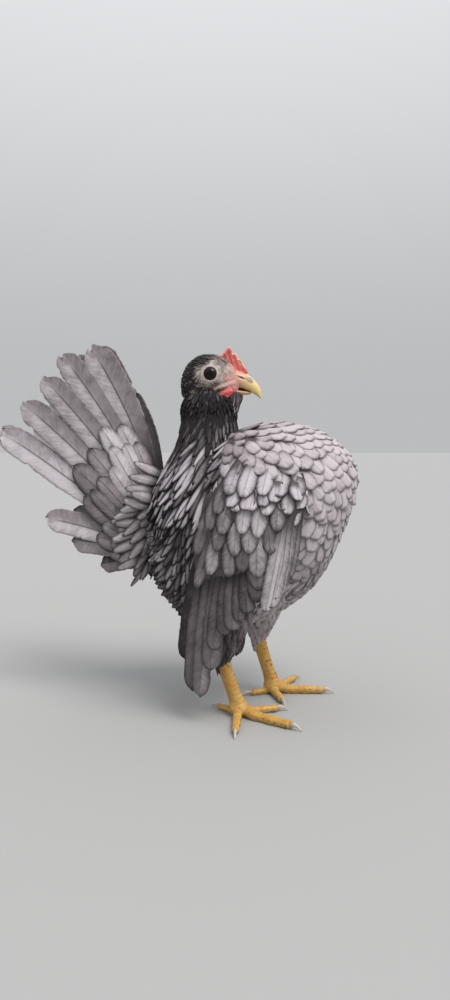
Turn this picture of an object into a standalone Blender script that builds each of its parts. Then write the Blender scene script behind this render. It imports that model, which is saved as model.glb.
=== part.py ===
"""A serama hen, life size, standing with its breast high, neck drawn back, wings hung and tail raised.

Places are written in millimetres in the bird's own frame: X runs forward, Y to its left and Z up from
the floor. mm() turns them into metres. One empty carries every piece to the middle of the floor area.
"""

import math
import random

import bmesh
import bpy
from mathutils import Matrix, Vector

MM = 0.001
GAP = 0.3  # what touching pieces keep between them
FLOOR_CENTRE = (-27.5, 0.62)  # middle of the bird's box over the floor

# Torso: upper and lower outline points and half width at each station, from the vent to the breast.
TORSO_STATIONS = [
    ((-38.0, 96.0), (-38.5, 81.0), 6.0),
    ((-36.0, 111.0), (-34.5, 65.0), 17.0),
    ((-28.0, 121.0), (-27.5, 51.5), 25.0),
    ((-16.0, 130.0), (-17.5, 43.0), 31.0),
    ((-4.0, 138.0), (-6.0, 40.0), 35.0),
    ((10.0, 145.0), (6.0, 41.0), 37.0),
    ((24.0, 147.5), (20.0, 43.5), 37.0),
    ((37.0, 146.5), (33.0, 51.0), 35.0),
    ((49.0, 142.5), (44.5, 61.0), 31.0),
    ((58.0, 136.5), (53.0, 73.0), 25.5),
    ((63.5, 129.0), (59.0, 87.0), 18.5),
    ((66.0, 120.0), (64.5, 103.0), 9.0),
]
TORSO_SIDES = 24
TORSO_ROWS = 15

# Neck: centre, half depth and half width, from inside the head down to the shoulders.
NECK_STATIONS = [
    ((-8.5, 164.0), 10.0, 9.0),
    ((-8.5, 157.0), 14.6, 12.8),
    ((-8.5, 149.0), 15.4, 14.6),
    ((-8.5, 140.0), 16.4, 18.0),
    ((-9.5, 131.0), 18.6, 22.5),
    ((-9.5, 122.0), 22.5, 28.5),
    ((-9.0, 112.0), 26.0, 33.5),
    ((-8.0, 104.0), 27.5, 36.5),
]
NECK_SIDES = 18
NECK_ROWS = 9

# Head: its own frame has X along the bill, and its origin between the eyes.
HEAD_PLACE = (-6.7, 0.0, 169.5)
HEAD_PITCH = 14.0
HEAD_TURN = 7.0
HEAD_STATIONS = [
    (-14.2, -4.0, 4.0, 3.6),
    (-12.5, -4.3, 8.4, 6.6),
    (-8.5, -3.0, 11.0, 8.9),
    (-3.5, -2.0, 11.9, 9.8),
    (2.0, -1.8, 12.0, 9.5),
    (7.0, -2.0, 11.0, 8.2),
    (11.0, -2.3, 8.8, 6.4),
    (13.6, -2.4, 6.2, 4.9),
    (15.0, -2.4, 4.0, 3.3),
]
HEAD_SIDES = 16
HEAD_ROWS = 10

EYE_RADIUS = 4.2
EYE_PLACE = (0.2, 6.3, 0.3)
LID_RADIUS = 3.75
LID_THICKNESS = 0.85

# Upper bill: distance forward, height of its middle, half height and half width.
UPPER_BILL_STATIONS = [
    (11.0, 1.2, 4.2, 4.3),
    (14.5, 1.1, 4.2, 4.2),
    (18.0, 0.8, 3.8, 3.5),
    (21.0, -0.1, 3.2, 2.8),
    (23.8, -1.5, 2.6, 2.1),
    (25.8, -3.0, 1.9, 1.4),
    (26.9, -4.6, 0.9, 0.7),
]
LOWER_BILL_STATIONS = [
    (10.5, -5.1, 1.9, 3.9),
    (14.5, -4.8, 1.7, 3.4),
    (17.5, -4.4, 1.4, 2.7),
    (20.0, -4.0, 1.0, 1.8),
    (21.4, -3.8, 0.6, 0.9),
]
BILL_SIDES = 10
NOSTRIL = (16.2, 3.1, 2.4)
NOSTRIL_SIZE = (1.5, 0.9, 0.7)

# Comb: the outline of its points from back to front, then its buried foot.
COMB_OUTLINE = [
    (0.6, 10.2),
    (2.6, 12.8),
    (4.6, 16.4),
    (6.2, 15.6),
    (7.2, 13.4),
    (8.8, 13.9),
    (10.2, 13.0),
    (11.2, 11.2),
    (13.0, 11.0),
    (14.6, 9.0),
    (16.6, 7.1),
    (17.2, 5.4),
    (15.0, 3.6),
    (8.0, 6.0),
    (2.0, 7.0),
]
COMB_MIDDLE = (8.4, 8.8)
COMB_THICKNESS = 2.6

WATTLE_PLACE = (8.6, 6.6, -8.9)
WATTLE_SIZE = (4.2, 1.3, 2.9)

# Legs: y is outward on the bird's own side. The left foot stands 10 mm ahead.
LEGS = {
    "right": {
        "side": -1.0,
        "thigh": [((9.0, 16.0, 62.0), 15.0), ((6.5, 18.5, 46.0), 12.0), ((4.6, 19.5, 33.0), 7.2)],
        "hock": (3.6, 19.7, 25.0),
        "hub": (11.5, 17.6, 5.4),
        "toes": {
            "inner": (30.0, 20.0),
            "middle": (-21.0, 30.0),
            "outer": (-79.0, 24.0),
            "hind": (152.0, 12.5),
        },
    },
    "left": {
        "side": 1.0,
        "thigh": [((17.0, 16.0, 62.0), 15.0), ((15.5, 17.5, 47.0), 12.0), ((14.4, 18.2, 35.0), 7.2)],
        "hock": (13.6, 18.2, 27.0),
        "hub": (21.3, 20.1, 5.4),
        "toes": {
            "inner": (62.0, 17.0),
            "middle": (-12.0, 27.0),
            "outer": (-70.0, 24.0),
            "hind": (143.0, 12.5),
        },
    },
}
SHANK_RADIUS = 3.3
SHANK_SCUTES = 7
SCUTE_RISE = 0.35
TOE_RADIUS = {"inner": 2.2, "middle": 2.5, "outer": 2.2, "hind": 1.9}
CLAW_LENGTH = 6.0
CLAW_ARCH = 0.7
CLAW_TIP_HEIGHT = 0.15  # under the tip's own radius, so that it rests on a small flat
CLAW_ROOT = 0.78  # its radius as a share of the toe's end
CLAW_TAPER = 0.82
HOCK_RISE = 1.5  # how far the shank goes up into the hock
HOCK_RADIUS = 4.9
PAD_HEIGHT = 4.2
PAD_SIZE = (5.0, 5.0, 4.7)
PAD_TOE_HEIGHT = 4.6  # where the toes' middles start within the pad

# Feathers: half widths along a vane as shares of its widest, and where along it those rings stand.
SEED = 11
VANE_THICKNESS = 0.6
VANE_TIP_THINNING = 0.7
SHAFT_RISE = 0.25
VANE_STEPS = (0.0, 0.4, 0.8, 1.0)
VANE_OUTLINE = (0.4, 0.95, 0.9, 0.36)
BLUNT_STEPS = (0.0, 0.35, 0.72, 0.94, 1.0)
BLUNT_OUTLINE = (0.3, 0.74, 1.0, 0.94, 0.5)

# Hackle tiers: place down the neck, length as a share of it, feathers round it and half width.
HACKLE_TIERS = [
    (0.14, 0.22, 9, 3.0),
    (0.28, 0.26, 10, 3.5),
    (0.42, 0.28, 10, 4.1),
    (0.56, 0.30, 11, 4.6),
    (0.70, 0.32, 12, 4.8),
    (0.85, 0.30, 13, 4.8),
]
HACKLE_BARE = ((0, 0), (0, 0), (50, 0), (80, 0), (95, 0), (104, 30))  # degrees left bare round front and back
HACKLE_DRIFT = 10.0  # degrees that a feather swings backwards on the side of the neck
HACKLE_ROOM = 3.2  # kept clear behind the neck for its feathers

WING_OUT = 40.5
WING_TILT = 7.0
WING_CORE = [
    ((22.0, 126.0), (6.0, 119.0)),
    ((38.0, 121.0), (-2.0, 108.0)),
    ((44.5, 110.0), (-5.0, 96.0)),
    ((44.5, 98.0), (-5.5, 86.0)),
    ((42.5, 88.0), (-5.0, 77.0)),
    ((39.0, 80.0), (-4.0, 70.0)),
]
# Wing feathers: root, tip, half width and whether blunt, then how far out the root and tip lie.
WING_FEATHERS = [
    (((0.0, 80.0), (-6.0, 13.5), 4.2, True), (-0.9, -1.4)),
    (((4.0, 80.0), (-1.0, 18.0), 4.2, True), (-0.9, -0.4)),
    (((-3.0, 84.0), (-11.5, 31.0), 3.8, True), (-0.9, -0.6)),
    (((8.0, 79.0), (3.5, 33.0), 4.2, True), (-0.9, 0.5)),
    (((-4.0, 90.0), (-12.0, 47.0), 3.6, True), (-0.9, 0.4)),
    (((13.0, 79.0), (7.5, 43.0), 4.2, True), (-0.9, 1.5)),
    (((18.0, 80.0), (13.0, 50.0), 4.2, True), (-0.9, 1.4)),
    (((23.0, 80.0), (18.0, 56.0), 4.2, True), (-0.9, 1.3)),
    (((38.5, 88.0), (30.5, 61.5), 3.6, True), (-0.9, 1.2)),
    (((34.0, 86.0), (26.0, 60.0), 3.6, True), (-0.9, 1.2)),
    (((42.0, 92.0), (36.0, 68.0), 3.4, True), (-0.9, 1.2)),
    (((0.0, 92.0), (-4.5, 64.0), 4.6, False), (0.2, 2.2)),
    (((6.0, 92.0), (1.5, 62.0), 4.6, False), (0.4, 2.6)),
    (((12.5, 93.0), (8.0, 62.5), 4.6, False), (0.6, 3.0)),
    (((19.0, 94.0), (14.5, 64.0), 4.6, False), (0.6, 3.2)),
    (((25.5, 95.0), (21.0, 66.5), 4.6, False), (0.6, 3.2)),
    (((31.5, 96.0), (27.0, 71.0), 4.6, False), (0.4, 2.8)),
    (((2.0, 106.0), (-2.5, 82.0), 4.2, False), (0.6, 4.0)),
    (((9.0, 106.0), (4.5, 80.0), 4.2, False), (0.9, 4.6)),
    (((16.0, 107.0), (11.5, 81.0), 4.2, False), (1.2, 5.0)),
    (((23.0, 108.0), (18.5, 83.0), 4.2, False), (1.2, 5.2)),
    (((30.0, 109.0), (25.5, 86.0), 4.2, False), (0.9, 4.8)),
]

# Tail: its stump, then the fan of one side from the ridge down, as root, tip and half width.
TAIL_BASE = [
    ((-28.0, 123.0), 3.0, 7.0),
    ((-33.0, 116.0), 8.0, 12.0),
    ((-38.0, 107.0), 11.0, 15.0),
    ((-41.0, 97.0), 12.0, 16.0),
    ((-43.0, 86.0), 11.0, 15.0),
    ((-42.0, 76.0), 7.0, 11.0),
    ((-41.0, 71.0), 3.0, 6.0),
]
TAIL_FAN = [
    ((-34.0, 1.2, 116.0), (-50.5, 1.6, 162.0), 4.8),
    ((-36.0, 2.6, 112.0), (-71.5, 5.0, 186.0), 8.6),
    ((-38.5, 4.0, 106.0), (-86.5, 8.5, 182.0), 7.2),
    ((-41.0, 5.2, 100.0), (-96.0, 12.0, 170.0), 7.0),
    ((-43.0, 6.4, 93.0), (-107.0, 15.0, 157.0), 7.4),
    ((-44.0, 7.4, 85.0), (-119.0, 17.5, 142.0), 7.4),
    ((-44.5, 7.0, 80.0), (-94.0, 15.0, 96.0), 6.4),
    ((-44.0, 6.0, 76.0), (-81.0, 11.0, 84.0), 6.2),
    ((-43.0, 4.5, 73.0), (-66.0, 8.0, 71.0), 5.2),
]
TAIL_QUILLS = 6  # the first of the fan are tail feathers with a raised shaft, the rest lie under the tail
TAIL_TILT = 7.0
# Covert tiers over the fan: first place, step, low and high share of its length, depth and half width.
TAIL_COVERTS = [
    (0.5, 1.15, 0.04, 0.56, 2.2, 2.2, 5.8),
    (0.0, 1.25, 0.02, 0.42, 4.6, 4.2, 5.2),
    (0.6, 1.3, 0.0, 0.28, 7.2, 6.2, 4.8),
]


def mm(x, y, z):
    return Vector((x, y, z)) * MM


def smooth(values, t):
    """The value at t, from 0 to 1, on a Catmull-Rom curve through a list of numbers or tuples."""
    if not isinstance(values[0], (int, float)):
        return tuple(smooth([v[k] for v in values], t) for k in range(len(values[0])))
    place = t * (len(values) - 1)
    i = min(int(place), len(values) - 2)
    f = place - i
    p1, p2 = values[i], values[i + 1]
    p0 = values[i - 1] if i else 2 * p1 - p2
    p3 = values[i + 2] if i + 2 < len(values) else 2 * p2 - p1
    return 0.5 * (
        2 * p1 + (p2 - p0) * f + (2 * p0 - 5 * p1 + 4 * p2 - p3) * f**2 + (3 * p1 - p0 - 3 * p2 + p3) * f**3
    )


def ring(centre, across, up, sides):
    """Points of an ellipse round a centre, with half axes across and up."""
    angles = [2 * math.pi * k / sides for k in range(sides)]
    return [centre + across * math.cos(a) + up * math.sin(a) for a in angles]


def material(name, colour, roughness):
    made = bpy.data.materials.new(name)
    made.use_nodes = True
    shader = made.node_tree.nodes["Principled BSDF"]
    shader.inputs["Base Color"].default_value = (*colour, 1.0)
    shader.inputs["Roughness"].default_value = roughness
    return made


def finished(name, bm):
    """An object with the surface that bm holds, its faces outwards."""
    bmesh.ops.recalc_face_normals(bm, faces=bm.faces)
    mesh = bpy.data.meshes.new(name)
    bm.to_mesh(mesh)
    bm.free()
    obj = bpy.data.objects.new(name, mesh)
    bpy.context.scene.collection.objects.link(obj)
    return obj


def closed_mesh(name, rings):
    """An object with one closed surface through rings of alike size, each end closed by a fan."""
    bm = bmesh.new()
    rows = [[bm.verts.new(p) for p in points] for points in rings]
    count = len(rows[0])
    for low, high in zip(rows, rows[1:]):
        for k in range(count):
            n = (k + 1) % count
            bm.faces.new((low[k], low[n], high[n]))
            bm.faces.new((low[k], high[n], high[k]))
    for row, flip in ((rows[0], True), (rows[-1], False)):
        middle = bm.verts.new(sum((v.co for v in row), Vector()) / count)
        for k in range(count):
            a, b = row[k], row[(k + 1) % count]
            bm.faces.new((b, a, middle) if flip else (a, b, middle))
    return finished(name, bm)


def closed_ring(name, rings):
    """An object with one closed surface through rings that come back to the first."""
    bm = bmesh.new()
    rows = [[bm.verts.new(p) for p in points] for points in rings]
    for i, low in enumerate(rows):
        high = rows[(i + 1) % len(rows)]
        for k in range(len(low)):
            n = (k + 1) % len(low)
            bm.faces.new((low[k], low[n], high[n]))
            bm.faces.new((low[k], high[n], high[k]))
    return finished(name, bm)


def ball(name, centre, size, frame=None, segments=16, rows=10):
    """A closed ellipsoid with half sizes along X, Y and Z, in a frame where one is given."""
    frame = frame or Matrix.Identity(4)
    rings = []
    for r in range(1, rows):
        a = math.pi * r / rows
        level, wide = -math.cos(a), math.sin(a)
        points = ring(Vector(), Vector((size[0] * wide, 0, 0)), Vector((0, size[1] * wide, 0)), segments)
        rings.append([frame @ ((p + Vector(centre) + Vector((0, 0, size[2] * level))) * MM) for p in points])
    return closed_mesh(name, rings)


def applied(obj):
    """The object's mesh as its modifiers leave it, with the modifiers removed."""
    graph = bpy.context.evaluated_depsgraph_get()
    mesh = bpy.data.meshes.new_from_object(obj.evaluated_get(graph))
    obj.modifiers.clear()
    obj.data = mesh
    return obj


def keep_largest(obj):
    """Leaves only the closed surface that holds the most volume."""
    bm = bmesh.new()
    bm.from_mesh(obj.data)
    left, shells = set(bm.faces), []
    while left:
        shell, edge = set(), [next(iter(left))]
        while edge:
            face = edge.pop()
            if face in shell:
                continue
            shell.add(face)
            edge += [f for e in face.edges for f in e.link_faces if f not in shell]
        left -= shell
        shells.append(shell)
    volumes = [sum(f.calc_center_median().dot(f.normal) * f.calc_area() for f in shell) for shell in shells]
    largest = volumes.index(max(volumes))
    spare = [f for i, shell in enumerate(shells) if i != largest for f in shell]
    bmesh.ops.delete(bm, geom=spare, context="FACES")
    bmesh.ops.triangulate(bm, faces=bm.faces)
    bm.to_mesh(obj.data)
    bm.free()
    return obj


def united(obj, others):
    """obj joined with the other closed objects into one closed surface."""
    if not others:
        return obj
    group = bpy.data.collections.new("joined")
    bpy.context.scene.collection.children.link(group)
    for other in others:
        bpy.context.scene.collection.objects.unlink(other)
        group.objects.link(other)
    join = obj.modifiers.new("join", "BOOLEAN")
    join.operation = "UNION"
    join.operand_type = "COLLECTION"
    join.collection = group
    join.solver = "MANIFOLD"
    applied(obj)
    for other in list(group.objects):
        bpy.data.objects.remove(other)
    bpy.data.collections.remove(group)
    return keep_largest(obj)


def less(obj, *cutters):
    """obj with the cutters' shapes taken away."""
    for cutter in cutters:
        cut = obj.modifiers.new("cut", "BOOLEAN")
        cut.operation = "DIFFERENCE"
        cut.object = cutter
        cut.solver = "MANIFOLD"
        applied(obj)
        bpy.data.objects.remove(cutter)
    return keep_largest(obj)


def torso_shape(name, grow=0.0):
    rings = []
    for r in range(TORSO_ROWS):
        top, low, half = smooth(TORSO_STATIONS, r / (TORSO_ROWS - 1))
        top, low = mm(top[0], 0, top[1]), mm(low[0], 0, low[1])
        up = (top - low) / 2
        up += up.normalized() * grow * MM
        rings.append(ring((top + low) / 2, mm(0, half + grow, 0), up, TORSO_SIDES))
    along = (sum(rings[-1], Vector()) - sum(rings[0], Vector())).normalized()
    for points, way in ((rings[0], -1), (rings[-1], 1)):
        for k, p in enumerate(points):
            points[k] = p + along * way * grow * MM
    return closed_mesh(name, rings)


def neck_shape(name, grow=0.0):
    rings = []
    for r in range(NECK_ROWS):
        centre, depth, half = smooth(NECK_STATIONS, r / (NECK_ROWS - 1))
        centre = (centre[0], centre[1] - (2 * grow if r == NECK_ROWS - 1 else 0))
        rings.append(
            ring(mm(centre[0], 0, centre[1]), mm(depth + grow, 0, 0), mm(0, half + grow, 0), NECK_SIDES)
        )
    return closed_mesh(name, rings)


def head_frame():
    turn = Matrix.Rotation(math.radians(HEAD_TURN), 4, "Z")
    pitch = Matrix.Rotation(math.radians(HEAD_PITCH), 4, "Y")
    return Matrix.Translation(mm(*HEAD_PLACE)) @ turn @ pitch


def along_x(name, stations, sides, rows, frame, grow=0.0):
    """A closed shape through stations of (x, height, half height, half width) in the head's frame."""
    rings = []
    for r in range(rows):
        x, z, tall, half = smooth(stations, r / (rows - 1))
        points = ring(mm(x, 0, z), mm(0, half + grow, 0), mm(0, 0, tall + grow), sides)
        rings.append([frame @ p for p in points])
    return closed_mesh(name, rings)


def tube(name, points, radii, sides, floor=False):
    """A closed tube through points in millimetres. With floor, nothing goes under the floor."""
    rings = []
    for i, p in enumerate(points):
        ahead = Vector(points[min(i + 1, len(points) - 1)]) - Vector(points[max(i - 1, 0)])
        across = ahead.cross(Vector((0, 0, 1))).normalized()
        up = across.cross(ahead).normalized()
        wide, tall = radii[i] if isinstance(radii[i], tuple) else (radii[i], radii[i])
        made = ring(Vector(p), across * wide, up * tall, sides)
        rings.append([Vector((q.x, q.y, max(q.z, 0.0) if floor else q.z)) * MM for q in made])
    return closed_mesh(name, rings)


def head():
    frame = head_frame()
    skull = along_x("head", HEAD_STATIONS, HEAD_SIDES, HEAD_ROWS, frame)
    lids = []
    for side in (-1, 1):
        x, y, z = EYE_PLACE
        steps = 12
        bm_rings = []
        for k in range(steps):
            a = 2 * math.pi * k / steps
            out = Vector((math.cos(a), 0, math.sin(a)))
            centre = Vector((x, side * (y + 2.4), z)) + out * LID_RADIUS
            points = ring(centre, out * LID_THICKNESS, Vector((0, side * LID_THICKNESS * 1.3, 0)), 5)
            bm_rings.append([frame @ (p * MM) for p in points])
        lids.append(closed_ring("lid", bm_rings))
    united(skull, lids)
    x, y, z = EYE_PLACE
    room = (EYE_RADIUS + GAP,) * 3
    sockets = [ball("socket", (x, side * y, z), room, frame, 14, 8) for side in (-1, 1)]
    bill_room = [
        along_x("room", UPPER_BILL_STATIONS, BILL_SIDES, 8, frame, GAP),
        along_x("room", LOWER_BILL_STATIONS, BILL_SIDES, 7, frame, GAP),
        comb_shape("room", frame, GAP),
    ]
    return less(skull, *sockets, *bill_room)


def comb_shape(name, frame, grow=0.0):
    """A blade that swells from its thin rim to its middle."""
    middle = Vector((COMB_MIDDLE[0], 0, COMB_MIDDLE[1]))
    rings = []
    for share, half in ((0.3, 0.5), (0.65, 0.42), (1.0, 0.2), (1.0, -0.2), (0.65, -0.42), (0.3, -0.5)):
        points = []
        for x, z in COMB_OUTLINE:
            out = Vector((x, 0, z)) - middle
            spot = middle + out * share + out.normalized() * grow
            spot.y = half * COMB_THICKNESS + math.copysign(grow, half)
            points.append(frame @ (spot * MM))
        rings.append(points)
    return closed_mesh(name, rings)


def head_pieces():
    frame = head_frame()
    made = {}
    upper = along_x("beak_upper", UPPER_BILL_STATIONS, BILL_SIDES, 9, frame)
    x, y, z = NOSTRIL
    holes = [ball("hole", (x, side * y, z), NOSTRIL_SIZE, frame, 8, 6) for side in (-1, 1)]
    made["beak_upper"] = less(upper, *holes, along_x("room", LOWER_BILL_STATIONS, BILL_SIDES, 7, frame, GAP))
    made["beak_lower"] = along_x("beak_lower", LOWER_BILL_STATIONS, BILL_SIDES, 8, frame)
    comb = comb_shape("comb", frame)
    made["comb"] = less(comb, along_x("room", UPPER_BILL_STATIONS, BILL_SIDES, 10, frame, GAP))
    for word, side in (("right", -1), ("left", 1)):
        x, y, z = EYE_PLACE
        made["eye_" + word] = ball("eye_" + word, (x, side * y, z), (EYE_RADIUS,) * 3, frame, 14, 8)
        x, y, z = WATTLE_PLACE
        wattle = ball("wattle_" + word, (x, side * y, z), WATTLE_SIZE, frame, 12, 8)
        made["wattle_" + word] = less(
            wattle,
            along_x("room", HEAD_STATIONS, HEAD_SIDES, HEAD_ROWS, frame, GAP),
            along_x("room", LOWER_BILL_STATIONS, BILL_SIDES, 7, frame, GAP),
            neck_shape("room", GAP),
        )
    return made


def shank(name, leg, grow=0.0):
    side = leg["side"]
    top = Vector((leg["hock"][0], side * leg["hock"][1], leg["hock"][2] + HOCK_RISE))
    foot = Vector((leg["hub"][0], side * leg["hub"][1], leg["hub"][2]))
    axis = (foot - top).normalized()
    across = Vector((0, 1, 0))
    front = across.cross(axis).normalized()
    front = front if front.x > 0 else -front
    rings = []
    for i in range(SHANK_SCUTES):
        for f, rise in ((0.0, False), (0.25, SCUTE_RISE), (0.92, SCUTE_RISE * 0.6)):
            t = (i + f) / SHANK_SCUTES
            centre = top.lerp(foot, t)
            flare = 0.9 * max(0.0, t - 0.75) * 4 + 0.7 * max(0.0, 0.2 - t) * 5
            points = []
            for k in range(10):
                a = 2 * math.pi * k / 10
                r = SHANK_RADIUS + flare + rise * max(0.0, math.cos(a)) + grow
                points.append((centre + front * math.cos(a) * r + across * math.sin(a) * r * 0.92) * MM)
            rings.append(points)
    if grow:
        rings[0] = [p - axis * grow * MM for p in rings[0]]
        rings[-1] = [p + axis * grow * MM for p in rings[-1]]
    return closed_mesh(name, rings)


def toe_line(leg, toe):
    """Points along the toe's middle, from inside the foot to the claw, with radii."""
    turn, length = leg["toes"][toe]
    side = leg["side"]
    a = math.radians(turn)
    ahead = Vector((math.cos(a), -side * math.sin(a), 0))
    start = Vector((leg["hub"][0], side * leg["hub"][1], 0))
    r = TOE_RADIUS[toe]
    points, radii = [], []
    steps = 6
    for k in range(steps):
        t = k / (steps - 1)
        height = r * 0.86 + (PAD_TOE_HEIGHT - r) * max(0.0, 1 - t * 2.6) ** 1.5
        knuckle = 1.0 + 0.09 * math.cos(t * math.pi * 6)
        points.append(start + ahead * length * t + Vector((0, 0, height)))
        radii.append((r * knuckle * (1.05 - 0.25 * t), r * knuckle * (1.05 - 0.25 * t)))
    return points, radii, ahead


def foot(word, leg):
    side = leg["side"]
    hub = ball("foot_" + word, (leg["hub"][0], side * leg["hub"][1], PAD_HEIGHT), PAD_SIZE, None, 12, 7)
    for v in hub.data.vertices:
        v.co.z = max(v.co.z, 0.0)
    toes = []
    for toe in leg["toes"]:
        points, radii, _ = toe_line(leg, toe)
        toes.append(tube("toe", points, radii, 8, floor=True))
    united(hub, toes)
    return less(hub, shank("room", leg, GAP))


def claw(word, leg, toe):
    points, radii, ahead = toe_line(leg, toe)
    r = radii[-1][0] * CLAW_ROOT
    root = points[-1] + ahead * (GAP + 0.02)
    line, sizes = [], []
    for k in range(5):
        t = k / 4
        arch = CLAW_ARCH * math.sin(math.pi * t) - (root.z - CLAW_TIP_HEIGHT) * t**2
        line.append(root + ahead * CLAW_LENGTH * t + Vector((0, 0, arch)))
        sizes.append((r * (1 - CLAW_TAPER * t) * 0.8, r * (1 - CLAW_TAPER * t)))
    return tube(f"claw_{toe}_{word}", line, sizes, 6, floor=True)


def thigh(word, leg):
    side = leg["side"]
    points = [Vector((x, side * y, z)) for (x, y, z), _ in leg["thigh"]]
    radii = [r for _, r in leg["thigh"]]
    hock = Vector((leg["hock"][0], side * leg["hock"][1], leg["hock"][2] + HOCK_RISE + GAP))
    points.append(hock)
    radii.append(HOCK_RADIUS)
    rings = []
    for k in range(7):
        p = Vector(smooth([tuple(q) for q in points], k / 6))
        r = smooth(radii, k / 6)
        rings.append([q * MM for q in ring(p, Vector((r, 0, 0)), Vector((0, r, 0)), 14)])
    made = closed_mesh("thigh_" + word, rings)
    return less(made, torso_shape("room", GAP), shank("room", leg, GAP))


def vane(points, outs, half, thick, tilt, ridge, blunt):
    """A closed feather vane along its points, tilted about its shaft so that neighbours shingle."""
    rings, last = [], len(points) - 1
    for i, p in enumerate(points):
        ahead = points[min(i + 1, last)] - points[max(i - 1, 0)]
        across = ahead.cross(outs[i]).normalized()
        up = across.cross(ahead).normalized()
        turn = Matrix.Rotation(math.radians(tilt), 3, ahead.normalized())
        across, up = turn @ across, turn @ up
        wide = half * (BLUNT_OUTLINE if blunt else VANE_OUTLINE)[i]
        tall = thick / 2 * (VANE_TIP_THINNING if i == last else 1.0)
        if ridge:
            upper = (-wide, tall), (0, tall + ridge), (wide, tall)
            spots = (*upper, (wide, -tall), (0, -tall), (-wide, -tall))
        else:
            spots = ((-wide, tall), (wide, tall), (wide, -tall), (-wide, -tall))
        rings.append([(p + across * x + up * y) * MM for x, y in spots])
    bm = bmesh.new()
    rows = [[bm.verts.new(p) for p in ring_points] for ring_points in rings]
    count = len(rows[0])
    for low, high in zip(rows, rows[1:]):
        for k in range(count):
            n = (k + 1) % count
            if k < count // 2:
                bm.faces.new((low[k], low[n], high[n]))
                bm.faces.new((low[k], high[n], high[k]))
            else:
                bm.faces.new((low[k], low[n], high[k]))
                bm.faces.new((low[n], high[n], high[k]))
    for row in (rows[0], rows[-1]):
        for k in range(1, count - 1):
            bm.faces.new((row[0], row[k], row[k + 1]))
    return finished("vane", bm)


def vane_on(place, start, end, half, thick, tilt, ridge=0.0, blunt=False):
    """A vane over a curved layer. place(u, v, out) gives a point, and start and end are (u, v, out)."""
    points, outs = [], []
    for t in BLUNT_STEPS if blunt else VANE_STEPS:
        u, v, out = (a + (b - a) * t for a, b in zip(start, end))
        here = Vector(place(u, v, out))
        points.append(here)
        outs.append((Vector(place(u, v, out + 1.0)) - here).normalized())
    return vane(points, outs, half, thick, tilt, ridge, blunt)


def neck():
    """The neck with its hackle in tiers, each longer than the one above."""
    draw = random.Random(SEED)

    def place(angle, share, out):
        centre, depth, half = smooth(NECK_STATIONS, share)
        a = math.radians(angle)
        return (
            centre[0] + (depth + out) * math.cos(a),
            (half + out) * math.sin(a),
            centre[1],
        )

    vanes = []
    for tier, (share, length, count, half) in enumerate(HACKLE_TIERS):
        for k in range(count):
            angle = 360.0 * (k + 0.5 * (tier % 2)) / count
            ahead = abs((angle + 180.0) % 360.0 - 180.0)
            if ahead < HACKLE_BARE[tier][0] or 180 - ahead < HACKLE_BARE[tier][1]:
                continue
            drift = HACKLE_DRIFT * math.sin(math.radians(angle)) * draw.uniform(0.5, 1.3)
            top = share + draw.uniform(-0.015, 0.015)
            vanes.append(
                vane_on(
                    place,
                    (angle, top, -1.3),
                    (angle + drift, top + length * draw.uniform(0.9, 1.1), 1.5),
                    half, VANE_THICKNESS, draw.uniform(6, 12),
                )
            )
    made = united(neck_shape("neck"), vanes)
    head_room = along_x("room", HEAD_STATIONS, HEAD_SIDES, HEAD_ROWS, head_frame(), GAP)
    return less(made, torso_shape("room", GAP), head_room)


def wing_layer(side):
    """place(x, z, out) on the wing's outer side, which hangs straight below the shoulder."""

    def place(x, z, out):
        sunk = 5.5 * ((x - 20) / 28) ** 2 + 5.0 * max(0.0, (z - 88) / 30) ** 2 + 2.0 * max(0.0, (50 - z) / 40)
        return (x, side * (WING_OUT + out - sunk), z)

    return place


def wing(word, side):
    draw = random.Random(SEED + 7)
    place = wing_layer(side)
    rings = []
    for r in range(10):
        front, back = smooth(WING_CORE, r / 9)
        outer, inner = [], []
        for k in range(8):
            x = front[0] + (back[0] - front[0]) * k / 7
            z = front[1] + (back[1] - front[1]) * k / 7
            edge = math.sin(math.pi * (0.08 + 0.84 * k / 7)) * min(1.0, 0.35 + r / 4, 0.2 + (9 - r) / 3)
            outer.append(Vector(place(x, z, 2.2 * edge)) * MM)
            inner.append(Vector(place(x, z, -2.4)) * MM)
        rings.append(outer + inner[::-1])
    core = closed_mesh("wing_" + word, rings)
    vanes = []
    for (root, tip, half, blunt), (bottom, top) in WING_FEATHERS:
        tilt = WING_TILT * -side
        vanes.append(
            vane_on(
                place,
                (*root, bottom),
                (tip[0] + draw.uniform(-0.4, 0.4), tip[1] + draw.uniform(-0.5, 0.5), top),
                half, VANE_THICKNESS, tilt, 0.0, blunt,
            )
        )
    united(core, vanes)
    return less(core, torso_shape("room", GAP), neck_shape("room", GAP))


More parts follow.
